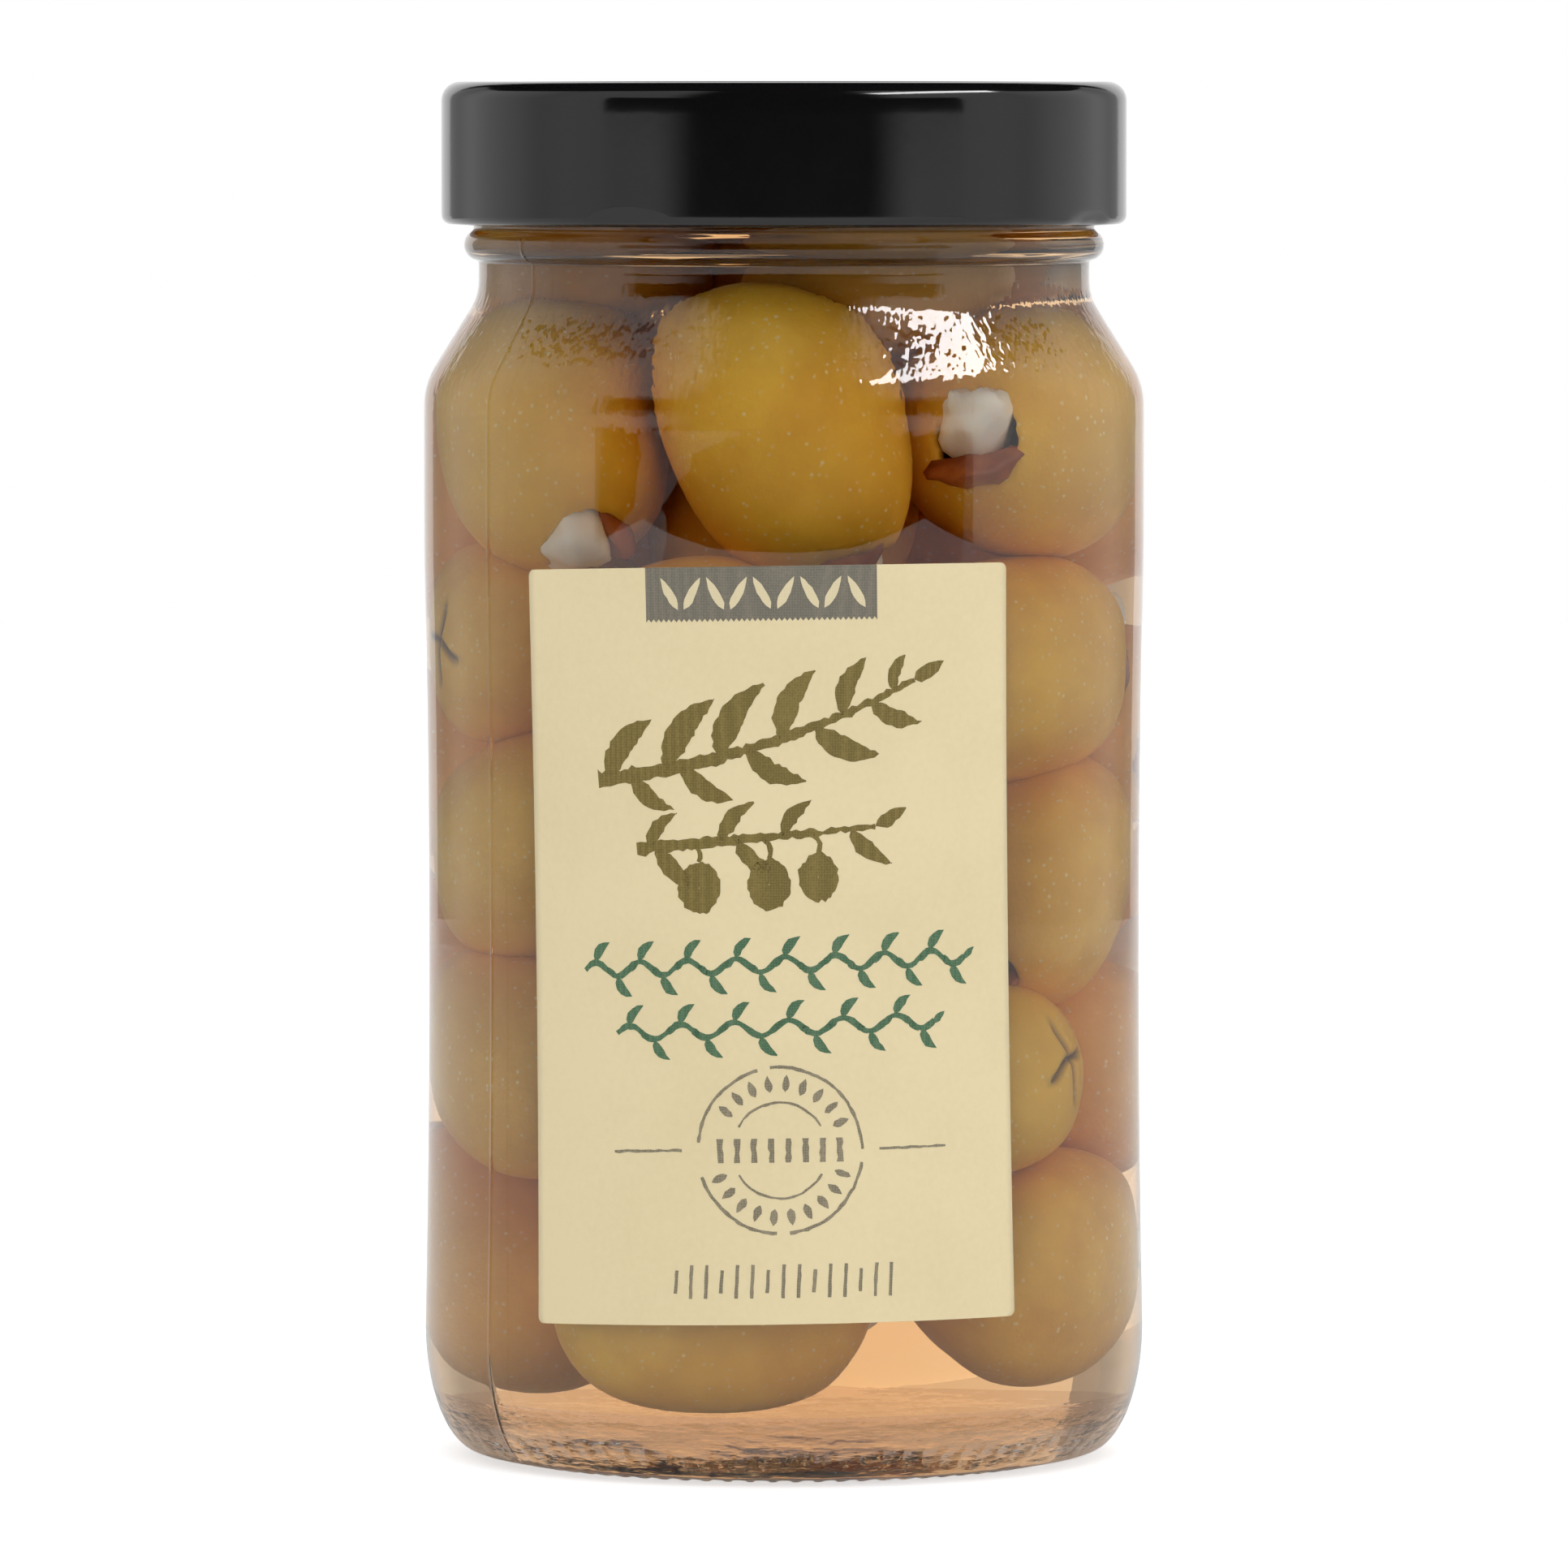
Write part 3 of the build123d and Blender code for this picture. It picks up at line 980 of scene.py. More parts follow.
# %% [markdown]
# ## The stuffing
# Each olive holds a piece of garlic and a piece of green chilli pepper that has browned
# in the brine. Both are small knobbly chunks. A chunk is a ball whose points are drawn in
# to a handful of soft flat sides. The garlic is a rounder chunk and the pepper a flatter
# one, side by side in the hole, and both stand out of it a little.


# %% Chunks
def chunk(half_sizes, seed, rings=14, sides=20, cuts=16, softness=10):
    """Points and faces of a small chunk with soft flat sides."""
    own = np.random.default_rng(seed)
    normals = own.normal(size=(cuts, 3))
    normals /= np.linalg.norm(normals, axis=1)[:, None]
    normals = np.vstack([normals, np.eye(3), -np.eye(3)])
    depths = np.r_[own.uniform(0.72, 1.0, cuts), np.full(6, 1.3)]
    polar = np.linspace(0, math.pi, rings)
    around = np.linspace(0, 2 * math.pi, sides, endpoint=False)
    p, a = np.meshgrid(polar, around, indexing="ij")
    ways = np.stack([np.sin(p) * np.cos(a), np.sin(p) * np.sin(a), np.cos(p)], -1).reshape(-1, 3)
    press = np.maximum(ways @ normals.T, 0) / depths
    size = (press**softness).sum(axis=1) ** (-1 / softness)
    points = ways * size[:, None] * np.array(half_sizes)
    points += 0.22 * np.sin(points[:, [1, 2, 0]] * 1.6 + own.uniform(0, 6, 3))
    faces = grid_faces(rings, sides, closed=True, turned_over=True)
    points, faces, _ = welded(points, faces, np.zeros(len(points)))
    return points, faces


def make_chunk_finish(name, scale, detail, stops, bump_depth, **look):
    """Clouded colour and a fine bump from one noise."""
    finish, nodes = new_finish(name)
    noise = nodes.add("TexNoise", Vector=nodes.own_space(), Scale=scale, Detail=detail)
    shader = nodes.add(
        "BsdfPrincipled",
        Base_Color=nodes.ramp(noise, *stops),
        Normal=nodes.add("Bump", Height=noise, Strength=1.0, Distance=bump_depth),
        **look,
    )
    nodes.add("OutputMaterial", Surface=shader)
    return finish


# %% [markdown]
# ## Filling the olives
# The chunks are set in each olive's own space, where the hole points up, and are then
# carried to its place by the same turn and shift as the olive. That keeps them in the hole
# however the olive lies. Chance gives each chunk its size, its lean and its height.

# %% Build the stuffing
other_way_round = {1}


def stuff(name, finish, half_sizes, aside, standing_out, seed):
    """One chunk in the hole of every olive, to one side of the hole's middle."""
    points, faces, total = [], [], 0
    for index, (center, basis, half, hole) in enumerate(frames):
        own = np.random.default_rng(seed + index)
        sizes = np.array(half_sizes) * own.uniform(0.9, 1.15, 3) * hole / 4.4
        local, chunk_faces = chunk(sizes, seed + index)
        lean = own.uniform(-0.3, 0.3)
        turned = local.copy()
        turned[:, 1] = local[:, 1] * math.cos(lean) - local[:, 2] * math.sin(lean)
        turned[:, 2] = local[:, 1] * math.sin(lean) + local[:, 2] * math.cos(lean)
        lift = half - 3.1 + standing_out + own.uniform(-0.3, 0.3)
        side = -aside if index in other_way_round else aside
        turned += [side * hole, own.uniform(-0.3, 0.3), lift]
        points.append(turned @ basis + center)
        faces += [[p + total for p in face] for face in chunk_faces]
        total += len(local)
    return make_piece(name, np.vstack(points), faces, [finish], ["olives_in_brine"])


garlic_flesh = make_chunk_finish(
    "garlic",
    320.0,
    4.0,
    ((0.35, (1.0, 0.88, 0.76)), (0.62, (1.0, 0.97, 0.92))),
    0.0001,
    Roughness=0.35,
    Subsurface_Weight=0.3,
    Subsurface_Radius=(1, 0.7, 0.4),
    Subsurface_Scale=0.0015,
)
pepper_flesh = make_chunk_finish(
    "browned_pepper",
    260.0,
    3.0,
    ((0.4, (0.28, 0.06, 0.014)), (0.65, (0.46, 0.13, 0.03))),
    0.00008,
    Roughness=0.25,
    IOR=1.42,
)
stuff("garlic", garlic_flesh, (3.0, 3.9, 3.5), 0.36, 1.5, 500)
stuff("pepper", pepper_flesh, (1.9, 3.5, 3.3), -0.55, 0.9, 900)

# %% [markdown]
# ## The label
# The label is a rectangle of cream paper with slightly rounded corners, wrapped round the
# panel and glued a little crooked. It is drawn flat, as across and up from its middle, and
# one helper lays any flat point on the jar, so the print can use the same helper. The
# paper has two faces and an edge, because its back shows through the jar.

# %% Lay flat points on the jar
label_lean = math.radians(0.95)
label_turn = math.radians(-2.5)
label_width = 54.1
label_bow = 0.35
margin_above, margin_below = 0.6, 3.2
label_height = panel_top - margin_above - heel_height - margin_below
label_middle = heel_height + margin_below + label_height / 2
paper_gap, paper_thickness = 0.02, 0.1
corner = 0.7


def on_jar(across, up, lift):
    """Points on the panel, from millimetres across and up from the label's middle."""
    across, up = np.asarray(across, float), np.asarray(up, float)
    turned_across = across * math.cos(label_lean) - up * math.sin(label_lean)
    turned_up = across * math.sin(label_lean) + up * math.cos(label_lean)
    turned_up = turned_up + label_bow * (1 - (2 * across / label_width) ** 2)
    height = label_middle + turned_up
    radius = body_radius - panel_inset(height) + lift
    azimuth = label_turn + turned_across / body_radius
    return np.stack([radius * np.sin(azimuth), -radius * np.cos(azimuth), height], axis=-1)


print("label", label_width, "by", round(label_height, 1), "mm")

# %% [markdown]
# ## Paper
# The label is uncoated cream paper, faintly cloudy and fibrous from close by. A single
# flat cream would look like plastic. Two noises share the colour instead, one coarse and
# one very fine, and the fine one also gives a bump of about a hundredth of a millimetre.


# %% Paper finish
def make_paper_finish():
    finish, nodes = new_finish("cream_paper")
    space = nodes.own_space()
    fibres = nodes.add("TexNoise", Vector=space, Scale=1400.0, Detail=4.0, Roughness=0.6)
    cloud = nodes.add("TexNoise", Vector=space, Scale=60.0, Detail=2.0)
    both = nodes.math("MULTIPLY_ADD", fibres, 0.7, cloud)
    shader = nodes.add(
        "BsdfPrincipled",
        Base_Color=nodes.ramp(both, (0.3, (0.735, 0.618, 0.365)), (1.0, (0.805, 0.685, 0.42))),
        Normal=nodes.add("Bump", Height=fibres, Strength=1.0, Distance=0.000012),
        Roughness=0.55,
        IOR=1.45,
    )
    nodes.add("OutputMaterial", Surface=shader)
    return finish


# %% [markdown]
# ## The sheet of the label
# A flat sheet could be bent with a modifier, but a grid of points laid straight on the jar
# keeps the exact lean and bow. Its rows lie closer together at the round corners. The back
# and the front are two such grids, joined by an edge all round, so the paper is a solid.

# %% Build the label
def label_rows():
    """Heights of the paper's rows from its middle, close together at the round corners."""
    half = label_height / 2
    corner_rows = half - corner + corner * np.sin(np.radians([0, 20, 40, 60, 75, 90]))
    return np.r_[-corner_rows[::-1], np.linspace(-half + corner, half - corner, 62)[1:-1], corner_rows]


def build_label():
    rows = label_rows()
    beyond = np.clip(np.abs(rows) - (label_height / 2 - corner), 0, corner)
    half_widths = label_width / 2 - corner + np.sqrt(corner**2 - beyond**2)
    shares = np.linspace(-1, 1, 61)
    across = half_widths[:, None] * shares
    up = np.repeat(rows[:, None], len(shares), axis=1)
    back = on_jar(across, up, paper_gap).reshape(-1, 3)
    front = on_jar(across, up, paper_gap + paper_thickness).reshape(-1, 3)
    high, wide = across.shape
    faces = grid_faces(high, wide, turned_over=True) + grid_faces(high, wide, start=high * wide)
    edge = [i * wide for i in range(high)] + [(high - 1) * wide + j for j in range(1, wide)]
    edge += [i * wide + wide - 1 for i in range(high - 2, -1, -1)] + list(range(wide - 2, 0, -1))
    for a, b in zip(edge, edge[1:] + edge[:1]):
        faces.append((a, a + high * wide, b + high * wide, b))
    return make_piece(
        "label_paper", np.vstack([back, front]), faces, [make_paper_finish()], ["label"]
    )


build_label()

# %% [markdown]
# ## The print
# The print is plain and generic: a grey tab with a toothed lower edge, two brushed olive
# branches, two green vines, a round stamp and a row of small strokes. Each ink is one
# mesh that lies a hair above the paper. A brush stroke is a ribbon along a curve, with a
# width that swells and rough edges, cut into small faces so that it follows the bend of
# the jar.

# %% Helpers for ink
ink_lift = paper_gap + paper_thickness + 0.02


class Ink:
    """Collects flat shapes of one ink and lays them on the jar as one piece."""

    def __init__(self, seed):
        self.points, self.faces, self.random = [], [], np.random.default_rng(seed)

    def grid(self, across, up):
        """A sheet of faces from two arrays of the same rows and columns."""
        self.faces += grid_faces(*across.shape, start=len(self.points))
        self.points += list(zip(across.ravel(), up.ravel()))

    def stroke(self, middle, widths, rough=0.0, step=0.45):
        """A ribbon of the brush along a curve of points, with a width at each of them."""
        middle, widths = np.asarray(middle, float), np.asarray(widths, float)
        along = np.r_[0, np.cumsum(np.linalg.norm(np.diff(middle, axis=0), axis=1))]
        count = max(6, int(along[-1] / step))
        even = np.linspace(0, along[-1], count)
        line = np.column_stack([np.interp(even, along, middle[:, k]) for k in (0, 1)])
        width = np.interp(even, along, widths)
        heading = np.gradient(line, axis=0)
        heading /= np.linalg.norm(heading, axis=1)[:, None] + 1e-9
        normal = np.column_stack([-heading[:, 1], heading[:, 0]])
        left = width / 2 + rough * self.random.normal(size=count)
        right = width / 2 + rough * self.random.normal(size=count)
        shares = np.linspace(0, 1, 5)
        reach = left[:, None] * (1 - shares) - right[:, None] * shares
        self.grid(
            line[:, 0:1] + normal[:, 0:1] * reach,
            line[:, 1:2] + normal[:, 1:2] * reach,
        )

    def leaf(self, base, tip, width, rough=0.0, bow=0.0):
        """A filled leaf from its base to its tip."""
        base, tip = np.array(base, float), np.array(tip, float)
        t = np.linspace(0, 1, 22)
        side = np.array([base[1] - tip[1], tip[0] - base[0]])
        middle = base + (tip - base) * t[:, None] + side * (bow * np.sin(math.pi * t))[:, None]
        self.stroke(middle, width * np.sin(math.pi * t**0.8) ** 0.8 + 0.02, rough)

    def oval(self, center, half_wide, half_high, rough=0.0):
        """A filled oval with a rough edge."""
        angles = np.radians(np.arange(0, 361, 9.0))
        edge = 1 + rough * self.random.normal(size=len(angles)) / half_high
        edge[-1] = edge[0]
        shares = np.linspace(0.02, 1, 7)[:, None] * edge
        self.grid(
            center[0] + half_wide * shares * np.cos(angles),
            center[1] + half_high * shares * np.sin(angles),
        )

    def ring(self, center, radius, width, gaps=(), rough=0.0):
        """A drawn circle, left out between pairs of angles in degrees."""
        angles = np.arange(0, 361, 3.0)
        shown = np.array([not any(low < a < high for low, high in gaps) for a in angles])
        start = None
        for index in range(len(angles) + 1):
            if index < len(angles) and shown[index]:
                start = index if start is None else start
            elif start is not None:
                part = np.radians(angles[start:index])
                if len(part) > 2:
                    wobble = radius + rough * np.sin(part * 7 + radius)
                    line = np.column_stack([np.cos(part), np.sin(part)]) * wobble[:, None] + center
                    self.stroke(line, np.full(len(part), width), rough)
                start = None

    def piece(self, name, finish, lift=ink_lift):
        flat = np.array(self.points)
        return make_piece(name, on_jar(flat[:, 0], flat[:, 1], lift), self.faces, [finish])


print("ink lies", round(ink_lift, 2), "mm over the panel")

# %% [markdown]
# ## Inks
# A press prints a colour as a fine screen of dots, a darker one in a paler one. From a
# little way off they melt into one tone that is livelier than a flat colour. A pattern of
# cells about a quarter of a millimetre wide stands for the screen.


# %% Ink finish
ink_screen = 3600.0


def make_ink(name, color, paler):
    """Ink with the fine screen of dots that it is printed with."""
    finish, nodes = new_finish(name)
    screen = nodes.add("TexVoronoi", Vector=nodes.own_space(), Scale=ink_screen, Randomness=0.25)
    ink = nodes.ramp(screen, (0.25, color), (0.75, paler))
    shader = nodes.add("BsdfPrincipled", Base_Color=ink, Roughness=0.5, IOR=1.45)
    nodes.add("OutputMaterial", Surface=shader)
    return finish


print("a screen of", round(1000 / ink_screen, 2), "mm dots")

# %% [markdown]
# ## The tab
# A grey tab is printed at the label's top edge, like a sewn-on ribbon, with small teeth
# below and a row of pale leaves across it. The teeth are in the mesh: every second point
# of the lower edge stands a third of a millimetre higher. The leaves lie on the grey, in
# an ink of their own.

# %% The grey tab
grey_ink = make_ink("grey_ink", (0.155, 0.14, 0.108), (0.23, 0.205, 0.155))
tab = Ink(1)
tab_left, tab_right, tab_top, tab_low = -12.4, 12.0, label_height / 2, 33.7
teeth = 44
tab_across = np.linspace(tab_left, tab_right, 2 * teeth + 1)
tooth = np.where(np.arange(2 * teeth + 1) % 2, 0.34, 0.0)
tab_rows = np.linspace(0, 1, 8)[:, None]
tab_top_edge = tab_top + 0 * tab_across
tab.grid(
    np.repeat(tab_across[None], 8, axis=0),
    (tab_low + tooth) * (1 - tab_rows) + tab_top_edge * tab_rows,
)
tab.piece("print_tab", grey_ink)

# %% The tab's pale leaves
pale_ink = make_ink("pale_ink", (0.72, 0.62, 0.39), (0.76, 0.66, 0.42))
pale = Ink(2)
for index in range(9):
    middle = tab_left + 2.6 + index * 2.45
    tilt = 0.9 if index % 2 else -0.9
    pale.leaf((middle - tilt, 35.0), (middle + tilt, 38.3), 0.95, rough=0.03)
pale.piece("print_tab_leaves", pale_ink, ink_lift + 0.02)


# %% [markdown]
# ## The sprigs
# Two olive branches in olive-brown ink fill the middle of the label, as if drawn with a
# wide brush. Each stem is a bent line that thins towards its end. Its leaves stand to both
# sides and lean forward, and the lower branch carries three olives on stalks. The uneven
# edges of every stroke are what makes them look painted.

# %% The brushed sprig
def curve(start, bend, end, count=40):
    """A smooth curve from start to end, pulled towards a third point."""
    t = np.linspace(0, 1, count)[:, None]
    start, bend, end = (np.array(p, float) for p in (start, bend, end))
    return (1 - t) ** 2 * start + 2 * t * (1 - t) * bend + t**2 * end


brown_ink = make_ink("olive_brown_ink", (0.145, 0.105, 0.018), (0.25, 0.185, 0.045))
sprig = Ink(3)


def branch(start, bend, end, leaves, fruits, thick):
    """A stem with leaves (share of the way, side, length) and fruits (share, drop, size)."""
    stem = curve(start, bend, end, 60)
    sprig.stroke(stem, np.linspace(thick, 0.4 * thick, 60), rough=0.10)
    for share, side, size in leaves:
        at = int(share * 59)
        ahead = stem[min(at + 3, 59)] - stem[max(at - 3, 0)]
        heading = math.atan2(ahead[1], ahead[0]) + side * math.radians(44)
        tip = stem[at] + size * np.array([math.cos(heading), math.sin(heading)])
        sprig.leaf(stem[at], tip, 0.31 * size, rough=0.09, bow=0.12 * side)
    sprig.leaf(stem[-1], stem[-1] + [3.4, 1.9], 1.5, rough=0.08)
    for share, drop, size in fruits:
        top = stem[int(share * 59)]
        middle = top + [0.7, -drop]
        sprig.stroke(curve(top, top + [1.3, -1.0], middle + [0, size]), [0.5] * 40, rough=0.05)
        sprig.oval(middle, 0.84 * size, size, rough=0.10)


branch(
    (-18.4, 17.5), (-2.0, 18.5), (16.0, 27.4),
    ((0.05, 1, 8.0), (0.12, -1, 6.0), (0.24, 1, 9.0), (0.30, -1, 6.5), (0.42, 1, 9.0),
     (0.50, -1, 7.0), (0.60, 1, 8.0), (0.70, -1, 7.5), (0.78, 1, 6.5), (0.88, -1, 6.0), (0.94, 1, 4.0)),
    (),
    1.6,
)
branch(
    (-14.0, 10.2), (-1.0, 11.2), (11.5, 12.2),
    ((0.06, 1, 4.8), (0.10, -1, 6.0), (0.36, 1, 5.4), (0.44, -1, 5.6), (0.62, 1, 4.8), (0.90, -1, 5.6)),
    ((0.24, 4.6, 2.7), (0.54, 4.9, 2.7), (0.74, 4.6, 2.5)),
    1.3,
)
sprig.piece("print_sprig", brown_ink)

# %% [markdown]
# ## The garlands
# Under the sprigs run two thin green vines, as light as handwriting. Each one is a single
# wavy stroke, with a leaf at every crest and hollow and a smaller leaf beside it.

# %% The green garlands
green_ink = make_ink("green_ink", (0.048, 0.135, 0.062), (0.12, 0.21, 0.115))
garlands = Ink(4)
for left, right, height, waves in ((-20.4, 21.4, -2.4, 8), (-16.6, 17.8, -9.0, 6)):
    t = np.linspace(0, 1, 260)
    across = left + (right - left) * t
    up = height + 0.9 * t + 0.75 * np.sin(2 * math.pi * waves * t)
    garlands.stroke(np.column_stack([across, up]), 0.50 + 0.22 * np.sin(40 * t) ** 2, rough=0.03)
    for index in range(2 * waves):
        at = int((index + 0.5) / (2 * waves) * 259)
        base = np.array([across[at], up[at]])
        side = 1 if index % 2 == 0 else -1
        garlands.leaf(base, base + [1.7, 2.1 * side], 1.0, rough=0.035, bow=0.15 * side)
        garlands.leaf(base + [1.3, -0.5 * side], base + [2.6, -1.7 * side], 0.7, rough=0.03)
garlands.piece("print_garlands", green_ink)

# %% [markdown]
# ## The stamp
# A round stamp has two rings with gaps in them, as a rubber stamp leaves where it doesn't
# press evenly. Leaves stand between the rings, short strokes cross the middle, and a thin
# rule runs out to each side. A row of fine strokes closes the label at the bottom.

# %% The stamp and the row of strokes
stamp_ink = make_ink("stamp_ink", (0.19, 0.165, 0.105), (0.33, 0.28, 0.185))
stamp = Ink(5)
stamp_middle = np.array([0.9, -21.3])
stamp.ring(stamp_middle, 8.65, 0.34, gaps=((96, 104), (176, 196), (268, 276), (352, 368)), rough=0.035)
stamp.ring(stamp_middle, 5.0, 0.24, gaps=((152, 208), (332, 361), (0, 28)), rough=0.03)
for angle in np.arange(24, 360, 15.0):
    if abs(angle - 180) > 22 and min(angle, 360 - angle) > 20:
        a = math.radians(angle)
        way = np.array([math.cos(a), math.sin(a)])
        stamp.leaf(stamp_middle + way * 6.1, stamp_middle + way * 7.9, 0.8, rough=0.04)
for index in range(8):
    middle = stamp_middle + [-6.3 + index * 1.8, 0]
    stamp.stroke([middle + [0, -1.25], middle + [0, 1.25]], [0.62, 0.62], rough=0.05)
for left, right in ((-17.1, -9.5), (11.4, 18.8)):
    stamp.stroke([(left, -21.3), (right, -21.2)], [0.26, 0.26], rough=0.03)
for index in range(15):
    middle = np.array([-10.3 + index * 1.62, -34.9])
    tall = 1.75 if index % 3 else 1.2
    stamp.stroke([middle - [0.1, tall], middle + [0.1, tall]], [0.36, 0.36], rough=0.02)
stamp.piece("print_stamp", stamp_ink)

# %% [markdown]
# ## The lid
# A deep twist-off lid is drawn from tinplate, lacquered black outside and pale inside. Its
# top has a flat outer ring and a sunk panel with a low button in the middle. The lower
# edge is rolled into a curl. At four places the curl is pressed in to make a lug, which
# leaves a shallow, smiling dent outside. The lid is turned in one go from the underside of
# its top, round the curl and over to the button, so that it is a real thin shell.

# %% Lid section
sheet = 0.25
lid_corner = 2.0
curl = 0.95
panel_radius = bore_radius - 0.6
panel_drop, button_radius, button_rise = 0.8, 12.0, 0.4
corner_axis = (lid_radius - lid_corner, lid_top - lid_corner)
curl_axis = (lid_radius - curl, lid_bottom + curl)


def lid_top_section(drop):
    """The lid's top from the axis out to its corner, this far under the outer face."""
    panel_z = lid_top - panel_drop - drop
    return run(
        (0, panel_z + button_rise),
        (button_radius - 1, panel_z + button_rise),
        (button_radius, panel_z),
        (panel_radius - 1, panel_z),
        (panel_radius, lid_top - drop),
        (corner_axis[0], lid_top - drop),
    )


lid_outside = np.vstack(
    [
        lid_top_section(0),
        arc(corner_axis, (lid_corner,) * 2, 90, 0),
        run((lid_radius, corner_axis[1]), (lid_radius, curl_axis[1])),
        arc(curl_axis, (curl, curl), 0, -180),
    ]
)
lid_inside = np.vstack(
    [
        arc(curl_axis, (curl, curl), 180, 45),
        run((lid_radius - sheet, curl_axis[1] + 0.7), (lid_radius - sheet, corner_axis[1])),
        arc(corner_axis, (lid_corner - sheet,) * 2, 0, 90),
        lid_top_section(sheet)[::-1],
    ]
)
lid_outside = soften(lid_outside, 0.25)
near_lugs = (lid_outside[1:, 1] < lid_bottom + 3.2) & (lid_outside[1:, 0] > lid_radius - curl)
lid_outer_part = thin_out(lid_outside, np.where(near_lugs, 0.28, 1.6), 9)
lid_inner_part = thin_out(soften(lid_inside, 0.2), 2.5, 14)[1:]
lid_section = np.vstack([lid_outer_part, lid_inner_part])
print("lid section has", len(lid_section), "points")

# %% [markdown]
# ## Lacquer
# Black lacquer is almost a mirror, so most of its look is what it reflects. Real lacquer
# is rolled on and baked, and never quite even. Its roughness therefore changes from place
# to place, and a ripple of a few thousandths of a millimetre softens the reflections. The
# pale lacquer inside is duller.


# %% Lid finishes
def make_lacquer(name, color, roughness):
    """Lacquer, a little more worn and less shiny in some places than in others."""
    finish, nodes = new_finish(name)
    wear = nodes.add("TexNoise", Vector=nodes.own_space(), Scale=90.0, Detail=5.0)
    shader = nodes.add(
        "BsdfPrincipled",
        Base_Color=(*color, 1),
        Normal=ripple(nodes, 900, 0.0000035, detail=3.0),
        Roughness=nodes.rise(wear, 0.3, 0.7, roughness * 0.8, roughness * 1.25),
        IOR=1.5,
    )
    nodes.add("OutputMaterial", Surface=shader)
    return finish


# %% [markdown]
# ## The lid's lugs
# The real lugs are pressed into a finished curl, and they are made in the same order here:
# the section is carried round, and the points at four places are then moved inwards. The
# columns of points are close together there, because a small dent would look jagged
# otherwise.

# %% Build the lid
lug_half = 5.6
lug_dent = 0.36


def pressed_lugs(radius, height, azimuth):
    """The four dents in the curl's outside and the lugs that they make on its inside."""
    from_lug = (azimuth - first_lug + math.pi / 4) % (math.pi / 2) - math.pi / 4
    across = from_lug * lid_radius / lug_half
    up = np.maximum(height - lid_bottom - 0.5, 0) / 1.45
    inside_dent = 1 - np.sqrt(across**2 + up**2)
    press = lug_dent * fade(inside_dent, 0, 0.8)
    is_outer = (np.arange(len(radius)) < len(lid_outer_part))[:, None] & (radius > lid_radius - curl)
    in_curl = (height < lid_bottom + 2.0) & (height > lid_bottom + 0.3) & (radius < lid_radius - curl)
    lug = 1.5 * fade(1 - np.abs(across), 0, 0.25) * in_curl
    clear = np.maximum(radius - finish_radius - 0.4, 0)
    return radius - np.where(is_outer, press, 0) - np.minimum(lug, clear), height


close_to_lugs = np.arange(-11, 11.01, 0.4)
lug_middles = np.degrees(first_lug) + np.arange(4)[:, None] * 90
lid_columns = np.r_[np.arange(0, 360, 1.2), (lug_middles + close_to_lugs).ravel() % 360]
lid_azimuths = np.radians(np.unique(np.round(lid_columns, 3)))
lid_points, lid_faces = turn(lid_section, lid_azimuths, pressed_lugs, from_the_top=True)
lid_face_rows = np.repeat(np.arange(len(lid_section) - 1), len(lid_azimuths))
make_piece(
    "lid_shell",
    lid_points,
    lid_faces,
    [
        make_lacquer("black_lacquer", (0.0045, 0.0042, 0.0048), 0.1),
        make_lacquer("pale_lacquer", (0.62, 0.55, 0.40), 0.3),
    ],
    ["lid"],
    lid_face_rows >= len(lid_outer_part) - 1,
)

# %% [markdown]
# ## The floor
# The jar stands on a plain white floor. It is lit like the jar, so that it takes the jar's
# soft shadow. Lit white paint still comes out grey beside a white room, so the floor also
# glows where it is looked at, and its far edge can't be seen.

# %% Floor
floor_half = 2000.0


def make_floor_finish():
    """White that is lit like the jar, and glows a little where it is looked at."""
    finish, nodes = new_finish("white_floor")
    path = nodes.add("LightPath").outputs
    strength = 0.0
    for kind, share in (("Camera", 0.6), ("Transmission", 0.25), ("Glossy", 0.1)):
        strength = nodes.math("MULTIPLY_ADD", path[f"Is {kind} Ray"], share, strength)
    plain = nodes.add("BsdfDiffuse", Color=(0.82, 0.82, 0.82, 1))
    total = nodes.add("AddShader")
    nodes.put(total.inputs[0], plain)
    nodes.put(total.inputs[1], nodes.add("Emission", Strength=strength))
    nodes.add("OutputMaterial", Surface=total)
    return finish


def stage_sheet(name, points, faces, finish):
    """A floor or a panel of the studio, which isn't part of the jar."""
    mesh = bpy.data.meshes.new(name)
    mesh.from_pydata((np.asarray(points, float) * MM).tolist(), [], faces)
    mesh.materials.append(finish)
    sheet_object = bpy.data.objects.new(name, mesh)
    bpy.context.scene.collection.objects.link(sheet_object)
    return sheet_object


far = floor_half
floor_corners = [(-far, -far, 0), (far, -far, 0), (far, far, 0), (-far, far, 0)]
stage_sheet("studio_floor", floor_corners, [(0, 1, 2, 3)], make_floor_finish())
print("floor", 2 * floor_half, "mm wide")

# %% [markdown]
# ## The room
# What the camera sees past the jar, or through its glass, is white. The light that falls
# on the jar comes from the room's own glow, which is brightest high in front on the right,
# and fills in from behind. A mirror sees this room otherwise, as in a studio: white
# straight behind the jar and dark in front of it. That draws the dark middle of the lid
# and keeps a pale haze off the brine. One shader holds all of it, and the kind of ray
# picks the part that it sees.

